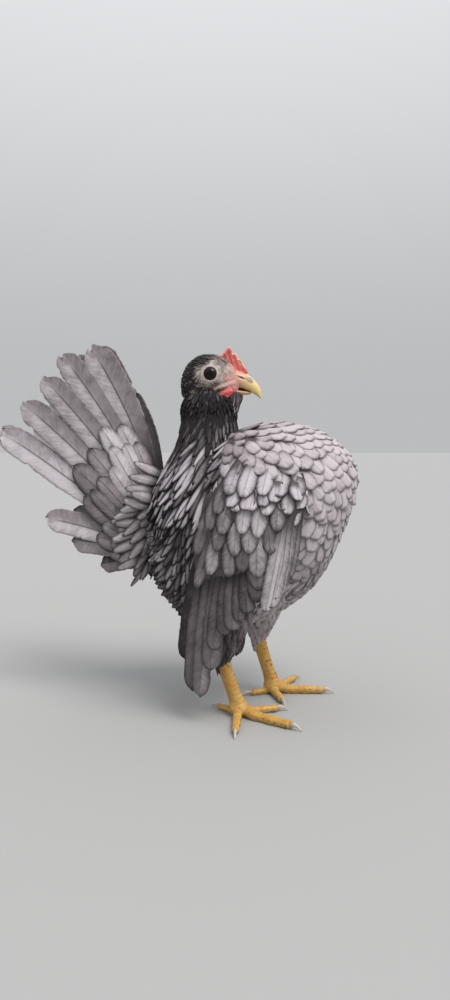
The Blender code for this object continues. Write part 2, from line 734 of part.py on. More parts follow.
def tail():
    draw = random.Random(SEED + 3)
    rings = []
    for r in range(9):
        centre, depth, half = smooth(TAIL_BASE, r / 8)
        rings.append(ring(mm(centre[0], 0, centre[1]), mm(depth, 0, 0), mm(0, half, 0), 16))
    base = closed_mesh("tail", rings)
    vanes = []
    for side in (-1, 1):

        def place(k, share, out, side=side):
            root, tip, _ = smooth(TAIL_FAN, k / (len(TAIL_FAN) - 1))
            bow = 2.5 * math.sin(math.pi * share)
            x = root[0] + (tip[0] - root[0]) * share + bow * 0.7
            y = root[1] + (tip[1] - root[1]) * share
            z = root[2] + (tip[2] - root[2]) * share + bow * 0.7
            return (x, side * (y + out), z)

        for k, (_, _, half) in enumerate(TAIL_FAN):
            ridge = SHAFT_RISE if k < TAIL_QUILLS else 0.0
            line = (k, 0.0, 0), (k, 1.0, 0)
            vanes.append(vane_on(place, *line, half, VANE_THICKNESS, side * TAIL_TILT, ridge, True))
        for first, step, low, high, start, end, half in TAIL_COVERTS:
            k = first
            while k < len(TAIL_FAN) - 0.9:
                reach = high * draw.uniform(0.93, 1.07)
                line = (k, low, start), (k + draw.uniform(-0.1, 0.1), reach, end)
                vanes.append(vane_on(place, *line, half, VANE_THICKNESS, side * TAIL_TILT))
                k += step
    united(base, vanes)
    return less(base, torso_shape("room", GAP), neck_shape("room", HACKLE_ROOM))


def main():
    for obj in list(bpy.data.objects):
        bpy.data.objects.remove(obj)
    plumage = material("plumage", (0.30, 0.27, 0.28), 0.75)
    hackle = material("hackle", (0.07, 0.065, 0.07), 0.7)
    face = material("face", (0.33, 0.22, 0.19), 0.6)
    horn = material("horn", (0.80, 0.58, 0.30), 0.4)
    comb = material("comb", (0.75, 0.16, 0.14), 0.5)
    eye = material("eye", (0.02, 0.012, 0.01), 0.08)
    scale = material("scale", (0.72, 0.42, 0.10), 0.5)
    nail = material("nail", (0.75, 0.70, 0.62), 0.4)

    nodes = {torso_shape("torso"): plumage}
    nodes[neck()] = hackle
    nodes[head()] = face
    slots = {"beak": horn, "comb": comb, "eye": eye, "wattle": comb}
    for name, obj in head_pieces().items():
        nodes[obj] = slots[name.split("_")[0]]
    nodes[tail()] = plumage
    for word, side in (("right", -1), ("left", 1)):
        nodes[wing(word, side)] = plumage
        leg = LEGS[word]
        nodes[thigh(word, leg)] = hackle
        nodes[shank("shank_" + word, leg)] = scale
        nodes[foot(word, leg)] = scale
        for toe in leg["toes"]:
            nodes[claw(word, leg, toe)] = nail

    stand = bpy.data.objects.new("hen", None)
    bpy.context.scene.collection.objects.link(stand)
    stand.location = mm(-FLOOR_CENTRE[0], -FLOOR_CENTRE[1], 0)
    for obj, look in nodes.items():
        obj.parent = stand
        obj.data.materials.clear()
        obj.data.materials.append(look)
        obj.data.shade_smooth()


main()
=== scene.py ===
"""A serama hen, life size, on a pale floor in soft light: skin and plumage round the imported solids.

Places are in millimetres in the bird's own frame, as in the part's source: X runs forward, Y to its left
and Z up from the floor. in_row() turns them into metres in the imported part's frame.
"""

import math
import random

import bpy
import numpy as np
from mathutils import Matrix, Vector
from mathutils.bvhtree import BVHTree


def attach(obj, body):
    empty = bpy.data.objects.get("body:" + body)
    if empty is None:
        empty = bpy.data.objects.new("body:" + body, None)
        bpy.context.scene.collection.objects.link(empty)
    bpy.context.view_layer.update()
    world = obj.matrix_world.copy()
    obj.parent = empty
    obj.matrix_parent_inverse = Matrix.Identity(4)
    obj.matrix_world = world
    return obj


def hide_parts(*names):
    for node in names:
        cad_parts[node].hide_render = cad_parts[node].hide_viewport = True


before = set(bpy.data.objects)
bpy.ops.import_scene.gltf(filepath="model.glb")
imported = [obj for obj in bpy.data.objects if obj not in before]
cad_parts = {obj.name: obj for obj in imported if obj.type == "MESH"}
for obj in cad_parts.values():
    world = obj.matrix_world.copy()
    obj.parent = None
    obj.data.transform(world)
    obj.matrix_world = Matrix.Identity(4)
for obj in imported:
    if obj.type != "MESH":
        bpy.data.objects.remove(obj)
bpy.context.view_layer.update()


# Camera, floor and light.
# The bird stands turned 15 degrees from the camera's right, and the camera looks a little down on it
# from the height of its shoulders. The floor is plain and pale, under an open, soft light from above.
FLOOR_CENTRE = np.array((-27.5, 0.62, 0.0))
YAW = math.radians(15.0)
DOWN = math.radians(4.0)
CAMERA_DISTANCE = 370.0
CAMERA_HEIGHT = 132.0
FILM = 36.0
FOCAL_SHARE = 0.72  # focal length as a share of the image's long side
FLOOR_RADIUS = 30.0
FLOOR_COLOUR = (0.40, 0.40, 0.395, 1.0)
SUN_FROM = Vector((0.52, -0.34, 1.0))
SUN_STRENGTH = 2.3
SUN_SPREAD = math.radians(34.0)
SUN_COLOUR = (1.0, 0.985, 0.96)
SKY_LOW = (0.50, 0.505, 0.51)
SKY_HIGH = (0.86, 0.87, 0.90)


def in_row(points):
    """Millimetres in the bird's frame, as metres in the part's frame."""
    return (np.asarray(points, float) - FLOOR_CENTRE) * 0.001


class Line:
    """A socket's value in a node tree, on which + - * / work and make their own nodes."""

    def __init__(self, tree, socket=None):
        self.tree, self.socket = tree, socket

    def node(self, kind, settings=None, out=0, **values):
        """Adds a node of the kind, its settings first and then its sockets' values or links."""
        made = self.tree.nodes.new(kind)
        for key, value in (settings or {}).items():
            setattr(made, key, value)
        for key, value in values.items():
            number = key[1:].isdigit() and key[0] == "n"
            socket = made.inputs[int(key[1:])] if number else made.inputs[key.replace("_", " ")]
            if isinstance(value, Line):
                self.tree.links.new(value.socket, socket)
            else:
                socket.default_value = value
        return Line(self.tree, made.outputs[out] if made.outputs else None)

    def maths(self, operation, *values):
        sockets = {f"n{k}": value for k, value in enumerate(values)}
        return self.node("ShaderNodeMath", {"operation": operation}, **sockets)

    def __add__(self, other):
        return self.maths("ADD", self, other)

    def __mul__(self, other):
        return self.maths("MULTIPLY", self, other)

    def __sub__(self, other):
        return self.maths("SUBTRACT", self, other)

    def __rsub__(self, other):
        return self.maths("SUBTRACT", other, self)

    __radd__, __rmul__ = __add__, __mul__

    def most(self, other):
        return self.maths("MAXIMUM", self, other)

    def rise(self, low, high):
        """0 below low and 1 above high, smooth between."""
        return self.node("ShaderNodeMapRange", {"interpolation_type": "SMOOTHSTEP"}, n0=self, n1=low, n2=high)

    def fall(self, low, high):
        return 1 - self.rise(low, high)

    def tint(self, first, second):
        """The first colour where this value is 0, and the second where it is 1."""
        first, second = ((*c, 1.0) if isinstance(c, tuple) else c for c in (first, second))
        return self.node("ShaderNodeMix", {"data_type": "RGBA"}, 2, n0=self, n6=first, n7=second)


def material(name, roughness, **fixed):
    """A new material and the line that starts its maths. fixed sets the shader's other sockets."""
    made = bpy.data.materials.new(name)
    made.use_nodes = True
    shader = made.node_tree.nodes["Principled BSDF"]
    for key, value in dict(Roughness=roughness, **fixed).items():
        shader.inputs[key.replace("_", " ")].default_value = value
    return made, Line(made.node_tree)


def linked(name, data):
    """A new object of the data, in the scene."""
    obj = bpy.data.objects.new(name, data)
    bpy.context.scene.collection.objects.link(obj)
    return obj


lens = bpy.data.cameras.new("camera")
lens.sensor_width, lens.lens, lens.clip_start = FILM, FILM * FOCAL_SHARE, 0.01
camera = linked("camera", lens)
camera.location = in_row((CAMERA_DISTANCE * math.sin(YAW), -CAMERA_DISTANCE * math.cos(YAW), CAMERA_HEIGHT))
ahead = Vector((-math.sin(YAW) * math.cos(DOWN), math.cos(YAW) * math.cos(DOWN), -math.sin(DOWN)))
camera.rotation_euler = ahead.to_track_quat("-Z", "Y").to_euler()
bpy.context.scene.camera = camera

bpy.ops.mesh.primitive_circle_add(vertices=128, radius=FLOOR_RADIUS, fill_type="NGON")
floor = bpy.context.object
floor.name = "floor"
floor_look, _ = material("floor", 0.8, Base_Color=FLOOR_COLOUR, Specular_IOR_Level=0.1)
floor.data.materials.append(floor_look)

light = bpy.data.lights.new("sun", "SUN")
light.energy, light.angle, light.color = SUN_STRENGTH, SUN_SPREAD, SUN_COLOUR
linked("sun", light).rotation_euler = (-SUN_FROM).to_track_quat("-Z", "Y").to_euler()
sky = bpy.data.worlds.new("sky")
sky.use_nodes = True
ray = Line(sky.node_tree).node("ShaderNodeTexCoord")
height = ray.node("ShaderNodeSeparateXYZ", None, 2, n0=ray)
background = sky.node_tree.nodes["Background"]
sky.node_tree.links.new(height.rise(0.06, 0.75).tint(SKY_LOW, SKY_HIGH).socket, background.inputs["Color"])
bpy.context.scene.world = sky
bpy.context.scene.view_settings.view_transform = "Standard"


# Skin.
# The hen's flesh under its feathers: trunk, neck, head, thighs and the stump of the tail in one piece.
# It lies inside the solids by the depth of the feathers. Only the face shows bare: its thin skin is
# ringed round the eye, folded along the gape, and red below it and before the comb.
def paint(start, colour, relief=None, depth=0.0):
    """Links a colour, and a relief with its depth in metres, to the material's shader."""
    shader = start.tree.nodes["Principled BSDF"]
    start.tree.links.new(colour.socket, shader.inputs["Base Color"])
    if relief is not None:
        normal = start.node("ShaderNodeBump", Height=relief, Distance=depth, Strength=1.0)
        start.tree.links.new(normal.socket, shader.inputs["Normal"])


def mark(start, name):
    """A number that the mesh carries at each point."""
    return start.node("ShaderNodeAttribute", {"attribute_name": name}, 2)


def grain(start, scale, detail=3.0, vector=None):
    if vector is None:
        vector = start.node("ShaderNodeTexCoord", None, 3)
    return start.node("ShaderNodeTexNoise", Scale=scale, Detail=detail, Vector=vector)


def smooth(values, t):
    """The value at t, from 0 to 1, on a Catmull-Rom curve through a list of numbers or tuples."""
    values = [np.asarray(v, float) for v in values]
    place = t * (len(values) - 1)
    i = min(max(int(place), 0), len(values) - 2)
    f = place - i
    p1, p2 = values[i], values[i + 1]
    p0 = values[i - 1] if i else 2 * p1 - p2
    p3 = values[i + 2] if i + 2 < len(values) else 2 * p2 - p1
    return 0.5 * (
        2 * p1 + (p2 - p0) * f + (2 * p0 - 5 * p1 + 4 * p2 - p3) * f**2 + (3 * p1 - p0 - 3 * p2 + p3) * f**3
    )


def stations(table, rows):
    """So many places, evenly spaced along a table."""
    return [smooth(table, r / (rows - 1)) for r in range(rows)]


def step(value, low, high):
    """0 below low and 1 above high, smooth between, on an array."""
    t = np.clip((np.asarray(value, float) - low) / (high - low), 0, 1)
    return t * t * (3 - 2 * t)


def fade(value, low, high):
    return 1 - step(value, low, high)


def bump(value, peak, width):
    """1 where the value is at its peak, falling off on both sides."""
    return np.exp(-(((value - peak) / width) ** 2))


def unit(v):
    return v / np.maximum(np.linalg.norm(v, axis=-1, keepdims=True), 1e-9)


def ellipse(centre, across, up, count):
    a = np.linspace(0, 2 * math.pi, count, endpoint=False)[:, None]
    return np.asarray(centre) + np.asarray(across) * np.cos(a) + np.asarray(up) * np.sin(a)


def level_ring(centre, depth, half, count):
    return ellipse(centre, (depth, 0, 0), (0, half, 0), count)


def loft(rings):
    """Vertices and faces of a closed surface through rings of alike size, with its faces outwards."""
    rings = np.asarray(rings, float)
    rows, count = rings.shape[:2]
    verts = np.concatenate([rings.reshape(-1, 3), [rings[0].mean(0), rings[-1].mean(0)]])
    a = np.arange(count)
    b = (a + 1) % count
    last = (rows - 1) * count
    faces = []
    for row in range(0, last, count):
        faces += (row + np.stack([a, b, b + count, a + count], -1)).tolist()
    faces += np.stack([b, a, 0 * a + rows * count], -1).tolist()
    faces += np.stack([last + a, last + b, 0 * a + rows * count + 1], -1).tolist()
    ring, axis = rings[rows // 2], rings[rows // 2 + 1].mean(0) - rings[rows // 2].mean(0)
    around = np.cross(ring - ring.mean(0), np.roll(ring, -1, 0) - ring.mean(0)).sum(0)
    if around @ axis < 0:
        faces = [f[::-1] for f in faces]
    return verts, faces


def join_shells(shells):
    verts, faces, start = [], [], 0
    for shell_verts, shell_faces in shells:
        verts.append(shell_verts)
        faces += [tuple(i + start for i in f) for f in shell_faces]
        start += len(shell_verts)
    return np.concatenate(verts), faces


def add_marks(mesh, **marks):
    for name, values in marks.items():
        attribute = mesh.attributes.new(name, "FLOAT", "POINT")
        attribute.data.foreach_set("value", np.asarray(values, np.float32))


def mesh_object(name, verts, faces, look, **marks):
    """A smooth object from vertices in millimetres of the bird's frame, with its marks."""
    mesh = bpy.data.meshes.new(name)
    mesh.from_pydata(in_row(verts).tolist(), [], faces)
    if look:
        mesh.materials.append(look)
    mesh.shade_smooth()
    add_marks(mesh, **marks)
    return linked(name, mesh)


def dress(piece, slot, *nodes):
    """Rides the piece on the bird's one body and hides the solids that it stands for; slot is not used."""
    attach(piece, "root")
    if nodes:
        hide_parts(*nodes)


TORSO_STATIONS = [  # upper x and z, lower x and z, half width, from the vent to the breast
    (-38, 96, -38.5, 81, 6), (-36, 111, -34.5, 65, 17), (-28, 121, -27.5, 51.5, 25),
    (-16, 130, -17.5, 43, 31), (-4, 138, -6, 40, 35), (10, 145, 6, 41, 37), (24, 147.5, 20, 43.5, 37),
    (37, 146.5, 33, 51, 35), (49, 142.5, 44.5, 61, 31), (58, 136.5, 53, 73, 25.5),
    (63.5, 129, 59, 87, 18.5), (66, 120, 64.5, 103, 9),
]
NECK_STATIONS = [  # x, z, half depth and half width, from inside the head down to the shoulders
    (-8.5, 164, 10, 9), (-8.5, 157, 14.6, 12.8), (-8.5, 149, 15.4, 14.6), (-8.5, 140, 16.4, 18),
    (-9.5, 131, 18.6, 22.5), (-9.5, 122, 22.5, 28.5), (-9, 112, 26, 33.5), (-8, 104, 27.5, 36.5),
]
HEAD_STATIONS = [  # along the bill, height, half height and half width, in the head's own frame
    (-14.2, -4, 4, 3.6), (-12.5, -4.3, 8.4, 6.6), (-8.5, -3, 11, 8.9), (-3.5, -2, 11.9, 9.8),
    (2, -1.8, 12, 9.5), (7, -2, 11, 8.2), (11, -2.3, 8.8, 6.4), (13.6, -2.4, 6.2, 4.9), (15, -2.4, 4, 3.3),
]
TAIL_STUMP = [  # x, z, half depth and half width
    (-28, 123, 3, 7), (-33, 116, 8, 12), (-38, 107, 11, 15), (-41, 97, 12, 16), (-43, 86, 11, 15),
    (-42, 76, 7, 11), (-41, 71, 3, 6),
]
THIGHS = {  # x, y, z and radius, from inside the trunk to the hock
    "right": [(9, -16, 62, 15), (6.5, -18.5, 46, 12), (4.6, -19.5, 33, 7.2), (3.6, -19.7, 26.8, 4.6)],
    "left": [(17, 16, 62, 15), (15.5, 17.5, 47, 12), (14.4, 18.2, 35, 7.2), (13.6, 18.2, 28.8, 4.6)],
}
TRUNK_GRID = (52, 76)  # rows, and points a row
CAPE_GRID = (30, 64)
STUMP_GRID = (18, 40)
THIGH_GRID = (18, 36)
COAT_DEPTH = 2.4
CAPE_DEPTH = 1.8
STUMP_DEPTH = 1.2
THIGH_DEPTH = 1.6
HEAD_DEPTH = 0.25
HEAD_PLACE = (-6.7, 0.0, 169.5)
HEAD_PITCH = math.radians(14.0)
HEAD_TURN = math.radians(7.0)
head_turn = np.array(Matrix.Rotation(HEAD_TURN, 3, "Z") @ Matrix.Rotation(HEAD_PITCH, 3, "Y"))

EYE = (0.2, 0.3)  # along the bill and up, in the head's frame
EYE_OPENING = 2.95
LID_RIDGE = 3.5
EAR = (-4.6, -10.8)
EAR_SIZE = (2.6, 3.0)
GAPE_REAR = (4.2, -6.4)
GAPE_FRONT = (13.2, -0.6)


def from_head(points):
    """Points of the head's own frame, in the bird's frame."""
    return np.asarray(points, float) @ head_turn.T + HEAD_PLACE


def to_head(points):
    return (np.asarray(points, float) - HEAD_PLACE) @ head_turn


def oval(x, z, centre, radii, lean=0.0):
    """0 at the middle of a leaning oval and 1 on its edge."""
    dx, dz = x - centre[0], z - centre[1]
    along = dx * math.cos(lean) + dz * math.sin(lean)
    across = dz * math.cos(lean) - dx * math.sin(lean)
    return np.hypot(along / radii[0], across / radii[1])


def dome(x, z, centre, radii, lean=0.0, power=2):
    """1 at the middle of a leaning oval, falling off past its edge, the sharper for a higher power."""
    return np.exp(-(oval(x, z, centre, radii, lean) ** power))


def face_marks(points):
    """Where the face is bare, pink, red or pale, and its distance from the eye and the gape line."""
    x, y, z = points.T

    def spot(centre, radii, lean=0.0, low=0.1, high=1.0):
        return fade(oval(x, z, centre, radii, lean), low, high)

    outer = step(np.abs(y), 1.6, 3.4)
    eye = np.hypot(x - EYE[0], z - EYE[1])
    along = np.array(GAPE_FRONT) - GAPE_REAR
    t = np.clip(((x - GAPE_REAR[0]) * along[0] + (z - GAPE_REAR[1]) * along[1]) / (along @ along), 0, 1)
    gape = np.hypot(x - GAPE_REAR[0] - along[0] * t, z - GAPE_REAR[1] - along[1] * t)
    lore = spot((8.6, 1.2), (6.6, 6.2), 0.0, 0.72)
    brow = spot((2.6, 5.8), (5.6, 2.6), -0.25, 0.6)
    red = spot((9.8, -7.0), (5.4, 2.7), 0.75, 0.66)
    ear = spot(EAR, EAR_SIZE, 0.0, 0.6, 1.05)
    behind = 0.8 * spot((-6.4, 0.4), (1.7, 3.6), 0.2, 0.5)
    band = bump(gape, 0, 0.85) * (1 - 0.8 * step(x, 11.8, 13.6))
    comb_foot = spot((10.6, 6.0), (7.4, 5.4), -0.6, 0.1, 1.1)
    outer = np.maximum(outer, np.minimum(1.6 * comb_foot, 1))
    ring = bump(eye, 6.3, 0.55) * step(0.3 * (EYE[0] - x) + EYE[1] - z, -1.0, 2.0) * fade(x, 3.5, 6.0)
    front = step(x, 10.2, 12.0) * step(z, -8.6, -7.2)
    bare = np.maximum.reduce(
        [fade(eye, 4.9, 6.0), lore, 0.75 * brow, red, 0.3 * ear, behind, band, front, ring, comb_foot]
    )
    near_bill = 0.72 * spot((12.2, 0.2), (9.6, 8.0))
    pink = np.maximum.reduce([near_bill, 0.75 * front, 0.62 * comb_foot, band * 0.5])
    return dict(
        bare=bare * outer, pink=pink, red=red * (1 - 0.75 * band) * outer,
        pale=np.maximum(band * step(x, 2, 6), 0.45 * ring) * outer, eye=eye, gape=gape,
    )


def skull_rings(rows=104, count=132):
    """The skull with the face modelled on it: socket, lids, brow, cheek, ear lobe, gape folds and lore."""
    rings = []
    for x, z, tall, half in stations(HEAD_STATIONS, rows):
        ring = ellipse((x, 0, z), (0, half - HEAD_DEPTH, 0), (0, 0, tall - HEAD_DEPTH), count)
        out = unit(ring - (x, 0, z))
        x, y, z = ring.T
        marks = face_marks(ring)
        eye, gape = marks["eye"], marks["gape"]
        lean = np.arctan2(z - EYE[1], x - EYE[0])
        lift = -2.2 * np.exp(-((eye / EYE_OPENING) ** 6))
        lift += 0.95 * bump(eye, LID_RIDGE, 0.42)
        lift += (0.34 + 0.1 * np.sin(9 * lean)) * bump(eye, 4.75, 0.30)
        lift += 0.26 * bump(eye, 5.7, 0.36) * (0.6 + 0.4 * np.sin(lean * 2 + 2.2))
        lift += 0.55 * bump(eye, 6.9, 0.9) * step(z - EYE[1], 0.5, 4)
        lift += 0.40 * bump(eye, 7.4, 0.35) * step(EYE[1] - z, 1, 4) * step(x, -6, -1)
        lift += 0.8 * dome(x, z, EAR, EAR_SIZE)
        lift -= 0.6 * dome(x, z, (EAR[0] + 0.2, EAR[1] + 2.2), (0.9, 1.0))
        folds = 0.70 * bump(gape, 0, 0.9) - 0.45 * bump(gape, 1.55, 0.35)
        lift += folds * fade(x, 11.4, 13.6) * (0.35 + 0.65 * step(x, 3.6, 7.5))
        lift += 0.9 * dome(x, z, (9.8, -7.0), (4.6, 2.2), 0.75, 4)
        lift += 0.16 * (np.sin(3.6 * (z + 0.55 * x)) * dome(x, z, (6.8, -2.6), (3.6, 2.8)))
        creases = 0.14 * np.sin(5.0 * x + 2.0 * z) * np.sin(4.3 * z - 1.6 * x)
        lift += creases * marks["bare"] * step(eye, 4.2, 5.2)
        rings.append(ring + out * (lift * step(np.abs(y), 1.5, 4.5))[:, None])
    return rings


def shrunk(value, inset):
    return max(value - inset, value * 0.35)


trunk_rings = []
for x1, z1, x0, z0, half in stations(TORSO_STATIONS, TRUNK_GRID[0]):
    up = np.array((x1 - x0, 0, z1 - z0)) / 2
    up *= 1 - COAT_DEPTH / np.linalg.norm(up)
    middle = ((x1 + x0) / 2, 0, (z1 + z0) / 2)
    trunk_rings.append(ellipse(middle, (0, shrunk(half, COAT_DEPTH), 0), up, TRUNK_GRID[1]))
trunk = loft(trunk_rings)
cape = loft([
    level_ring((x, 0, z), depth - CAPE_DEPTH, half - CAPE_DEPTH, CAPE_GRID[1])
    for x, z, depth, half in stations(NECK_STATIONS, CAPE_GRID[0])
])
stump = loft([
    level_ring((x, 0, z), shrunk(depth, STUMP_DEPTH), shrunk(half, STUMP_DEPTH), STUMP_GRID[1])
    for x, z, depth, half in stations(TAIL_STUMP, STUMP_GRID[0])
])
thighs = {}
for word, line in THIGHS.items():
    places = stations(line, THIGH_GRID[0])
    thighs[word] = loft([level_ring(p[:3], *[p[3] - THIGH_DEPTH] * 2, THIGH_GRID[1]) for p in places])
skull_verts, skull_faces = loft(skull_rings())
skull = (from_head(skull_verts), skull_faces)

GAP_SHADE = (0.050, 0.042, 0.044)
DOWN_GREY = (0.095, 0.082, 0.084)
SKIN_GREY = (0.21, 0.175, 0.16)
SKIN_BEIGE = (0.47, 0.40, 0.36)
SKIN_PINK = (0.66, 0.30, 0.26)
SKIN_PEACH = (0.72, 0.47, 0.36)
SKIN_RED = (0.50, 0.055, 0.05)
SKIN_FLAKE = (0.70, 0.62, 0.56)
SKIN_PIT = (0.07, 0.05, 0.045)
LID_GREY = (0.58, 0.50, 0.44)
SOCKET_SHADE = (0.045, 0.028, 0.022)
skin_look, s = material("skin", 0.55, Specular_IOR_Level=0.4)
fine, coarse, eye = grain(s, 2300.0, 2.0), grain(s, 420.0, 3.0), mark(s, "eye")
flesh = coarse.rise(0.36, 0.66).tint(SKIN_GREY, SKIN_BEIGE)
flesh = (mark(s, "pink") * (0.7 + coarse * 0.5)).rise(0.1, 0.9).tint(flesh, SKIN_PINK)
flesh = mark(s, "red").rise(0.2, 0.8).tint(flesh, SKIN_RED)
flesh = (mark(s, "pale") * 0.85).tint(flesh, SKIN_PEACH)
flesh = (fine.rise(0.58, 0.70) * 0.40).tint(flesh, SKIN_FLAKE)
flesh = (fine.fall(0.32, 0.44) * 0.50 * (1 - mark(s, "red"))).tint(flesh, SKIN_PIT)
flesh = (eye.rise(3.3, 3.7) * eye.fall(4.0, 4.7) * 0.75).tint(flesh, LID_GREY)
# Inside the lids, round the eyeball, the skin is painted near black as the shade of the socket.
flesh = eye.fall(3.0, 3.5).tint(flesh, SOCKET_SHADE)
# Under the feathers the skin is painted near black, as the shade in the gaps between them, mottled with grey
# down.
gap_shade_and_down = coarse.rise(0.3, 0.7).tint(GAP_SHADE, DOWN_GREY)
paint(s, mark(s, "bare").rise(0.15, 0.75).tint(gap_shade_and_down, flesh), coarse * 0.6 + fine, 0.00022)

verts, faces = join_shells([trunk, cape, stump, *thighs.values(), skull])
marks = {name: np.zeros(len(verts)) for name in ("bare", "pink", "red", "pale")}
marks["eye"] = np.full(len(verts), 99.0)
for name, values in face_marks(skull_verts).items():
    if name in marks:
        marks[name][-len(skull_verts):] = values
dress(
    mesh_object("skin", verts, faces, skin_look, **marks),
    "face", "torso", "neck", "head", "thigh_right", "thigh_left",
)


# Eyes.
# A bantam's dark brown eye, nearly all pupil in soft light, wet and shining between its lids.
# Each is a ball set in the skull, with the iris and pupil painted round its outward pole.
SIDES = {"right": -1, "left": 1}
EYE_RADIUS = 4.2
EYE_PLACE = (0.2, 6.3, 0.3)
PUPIL = 1.75
PUPIL_BLACK = (0.002, 0.002, 0.002)
IRIS_DARK = (0.012, 0.005, 0.003)
IRIS_BROWN = (0.026, 0.011, 0.007)
eye_look, e = material("eye", 0.08, Coat_Weight=0.16, Coat_Roughness=0.02, Specular_IOR_Level=0.12)
rim = mark(e, "across")
iris = (rim + grain(e, 3000.0, 2.0) * 0.5).rise(PUPIL, 3.3).tint(IRIS_DARK, IRIS_BROWN)
paint(e, rim.rise(PUPIL - 0.15, PUPIL + 0.12).tint(PUPIL_BLACK, iris))
for word, side in SIDES.items():
    centre = np.array(EYE_PLACE) * (1, side, 1)
    rings = []
    for a in np.linspace(0.02, math.pi - 0.02, 40):
        middle, bulge = centre + (0, side * math.cos(a) * EYE_RADIUS, 0), EYE_RADIUS * math.sin(a)
        rings.append(ellipse(middle, (bulge, 0, 0), (0, 0, bulge), 56))
    verts, faces = loft(rings)
    across = np.hypot(verts[:, 0] - centre[0], verts[:, 2] - centre[2])
    ball = mesh_object("eye_ball_" + word, from_head(verts), faces, eye_look, across=across)
    dress(ball, "eye", "eye_" + word)


# Beak.
# Two horny sheaths over the jaws: the upper one is arched and hooked past the lower, pink where it
# grows from the face, with a flap over the nostril, a grey smudge, and a smooth yellow hook.
UPPER_BILL = [  # along the bill, height, half height and half width
    (10, 1.4, 4.3, 4.4), (12.5, 1.2, 4.3, 4.3), (14.5, 1.1, 4.2, 4.1), (18, 0.8, 3.8, 3.4),
    (21, -0.1, 3.2, 2.7), (23.8, -1.5, 2.6, 2), (25.8, -3, 1.9, 1.3), (26.9, -4.6, 0.9, 0.6),
]
LOWER_BILL = [
    (9.5, -5.1, 2, 3.9), (14.5, -4.8, 1.7, 3.4), (17.5, -4.4, 1.4, 2.7), (20, -4, 1, 1.8),
    (21.4, -3.8, 0.6, 0.9),
]
LOWER_FLATNESS = 0.95
NOSTRIL = (15.2, 2.3)
SMUDGE = (19.4, 2.4)
HORN_PINK = (0.66, 0.38, 0.27)
HORN_YELLOW = (0.76, 0.58, 0.24)
HORN_ORANGE = (0.72, 0.36, 0.10)
HORN_GREY = (0.14, 0.105, 0.115)
MOUTH_SHADE = (0.045, 0.012, 0.008)


def bill_rings(table, rows, count, flatness=1.0):
    """Rings along a sheath with a low ridge on top. flatness lowers their upper half."""
    rings = []
    for x, z, tall, half in stations(table, rows):
        ring = ellipse((x, 0, z), (0, half, 0), (0, 0, tall), count)
        height = ring[:, 2] - z
        ridge = bump(ring[:, 1], 0, 0.35 * half + 0.2) * (height > 0) * flatness
        ring[:, 2] = z + height * np.where(height < 0, 1.0, flatness) + 0.22 * ridge
        rings.append(ring)
    return np.array(rings)


bill_look, b = material("horn_bill", 0.30, Coat_Weight=0.25, Coat_Roughness=0.25, Specular_IOR_Level=0.5)
scuff = grain(b, 700.0, 3.0)
horn = (mark(b, "along") + (scuff - 0.5) * 0.12).rise(0.28, 0.60).tint(HORN_PINK, HORN_YELLOW)
horn = (mark(b, "edge") * 0.75).tint(horn, HORN_ORANGE)
horn = ((mark(b, "smudge") + (scuff - 0.5) * 1.1).rise(0.25, 1.0) * 0.85).tint(horn, HORN_GREY)
# The dark mark is painted shade: in the nostril, along the gap between the jaws, and on the lower jaw's rear.
horn = mark(b, "dark").tint(horn, MOUTH_SHADE)
paint(b, horn, scuff + grain(b, 2600.0, 2.0) * 0.35, 0.00012)

rings = bill_rings(UPPER_BILL, 72, 72)
x, y, z = (rings[..., k] for k in range(3))
lift = 0.5 * dome(x, z, (NOSTRIL[0] - 0.3, NOSTRIL[1] + 0.9), (2.6, 1.2), -0.15, 4)
lift -= dome(x, z, NOSTRIL, (1.7, 0.48), -0.12)
rings[..., 1] += np.sign(y) * lift * step(np.abs(y), 0.6, 1.8)
verts, faces = loft(rings)
x, y, z = verts.T
low = z - np.interp(x, [s[0] for s in UPPER_BILL], [s[1] - s[2] for s in UPPER_BILL])
# Painted shade in the nostril slit and along the upper jaw's lower edge at the gap between the jaws.
nostril_shade = dome(x, z, NOSTRIL, (1.6, 0.42), -0.12, 4) * step(np.abs(y), 0.8, 2)
under = fade(low, 0.15, 0.5) * fade(np.abs(y), 2.0, 3.0) * fade(x, 20, 23)
under = np.maximum(under, fade(low, 0.25, 0.8) * step(x, 12.2, 13.4) * fade(x, 16.5, 18.5))
upper = mesh_object(
    "bill_upper", from_head(verts), faces, bill_look,
    along=np.clip((x - 10.0) / 17.0, 0, 1), edge=fade(low, 0.4, 1.6) * fade(x, 19, 22),
    smudge=fade(oval(x, z, SMUDGE, (3.9, 2.0), -0.45), 0.1, 1.1), dark=np.maximum(nostril_shade * 0.9, under),
)
dress(upper, "horn", "beak_upper")
verts, faces = loft(bill_rings(LOWER_BILL, 40, 48, LOWER_FLATNESS))
x, y, z = verts.T
high = z - np.interp(x, [s[0] for s in LOWER_BILL], [s[1] + 0.05 * s[2] for s in LOWER_BILL])
lower = mesh_object(
    "bill_lower", from_head(verts), faces, bill_look,
    along=np.clip((x - 9.0) / 16.0, 0, 1) * 0.7, edge=0 * x + 0.5, smudge=0.55 * step(x, 15, 22),
    # Painted shade: along the lower jaw's top edge at the gap, and over its rear under the upper jaw.
    dark=np.maximum(step(high, 0.2, 0.5), 0.55 * fade(x, 11, 16)),
)
dress(lower, "horn", "beak_lower")


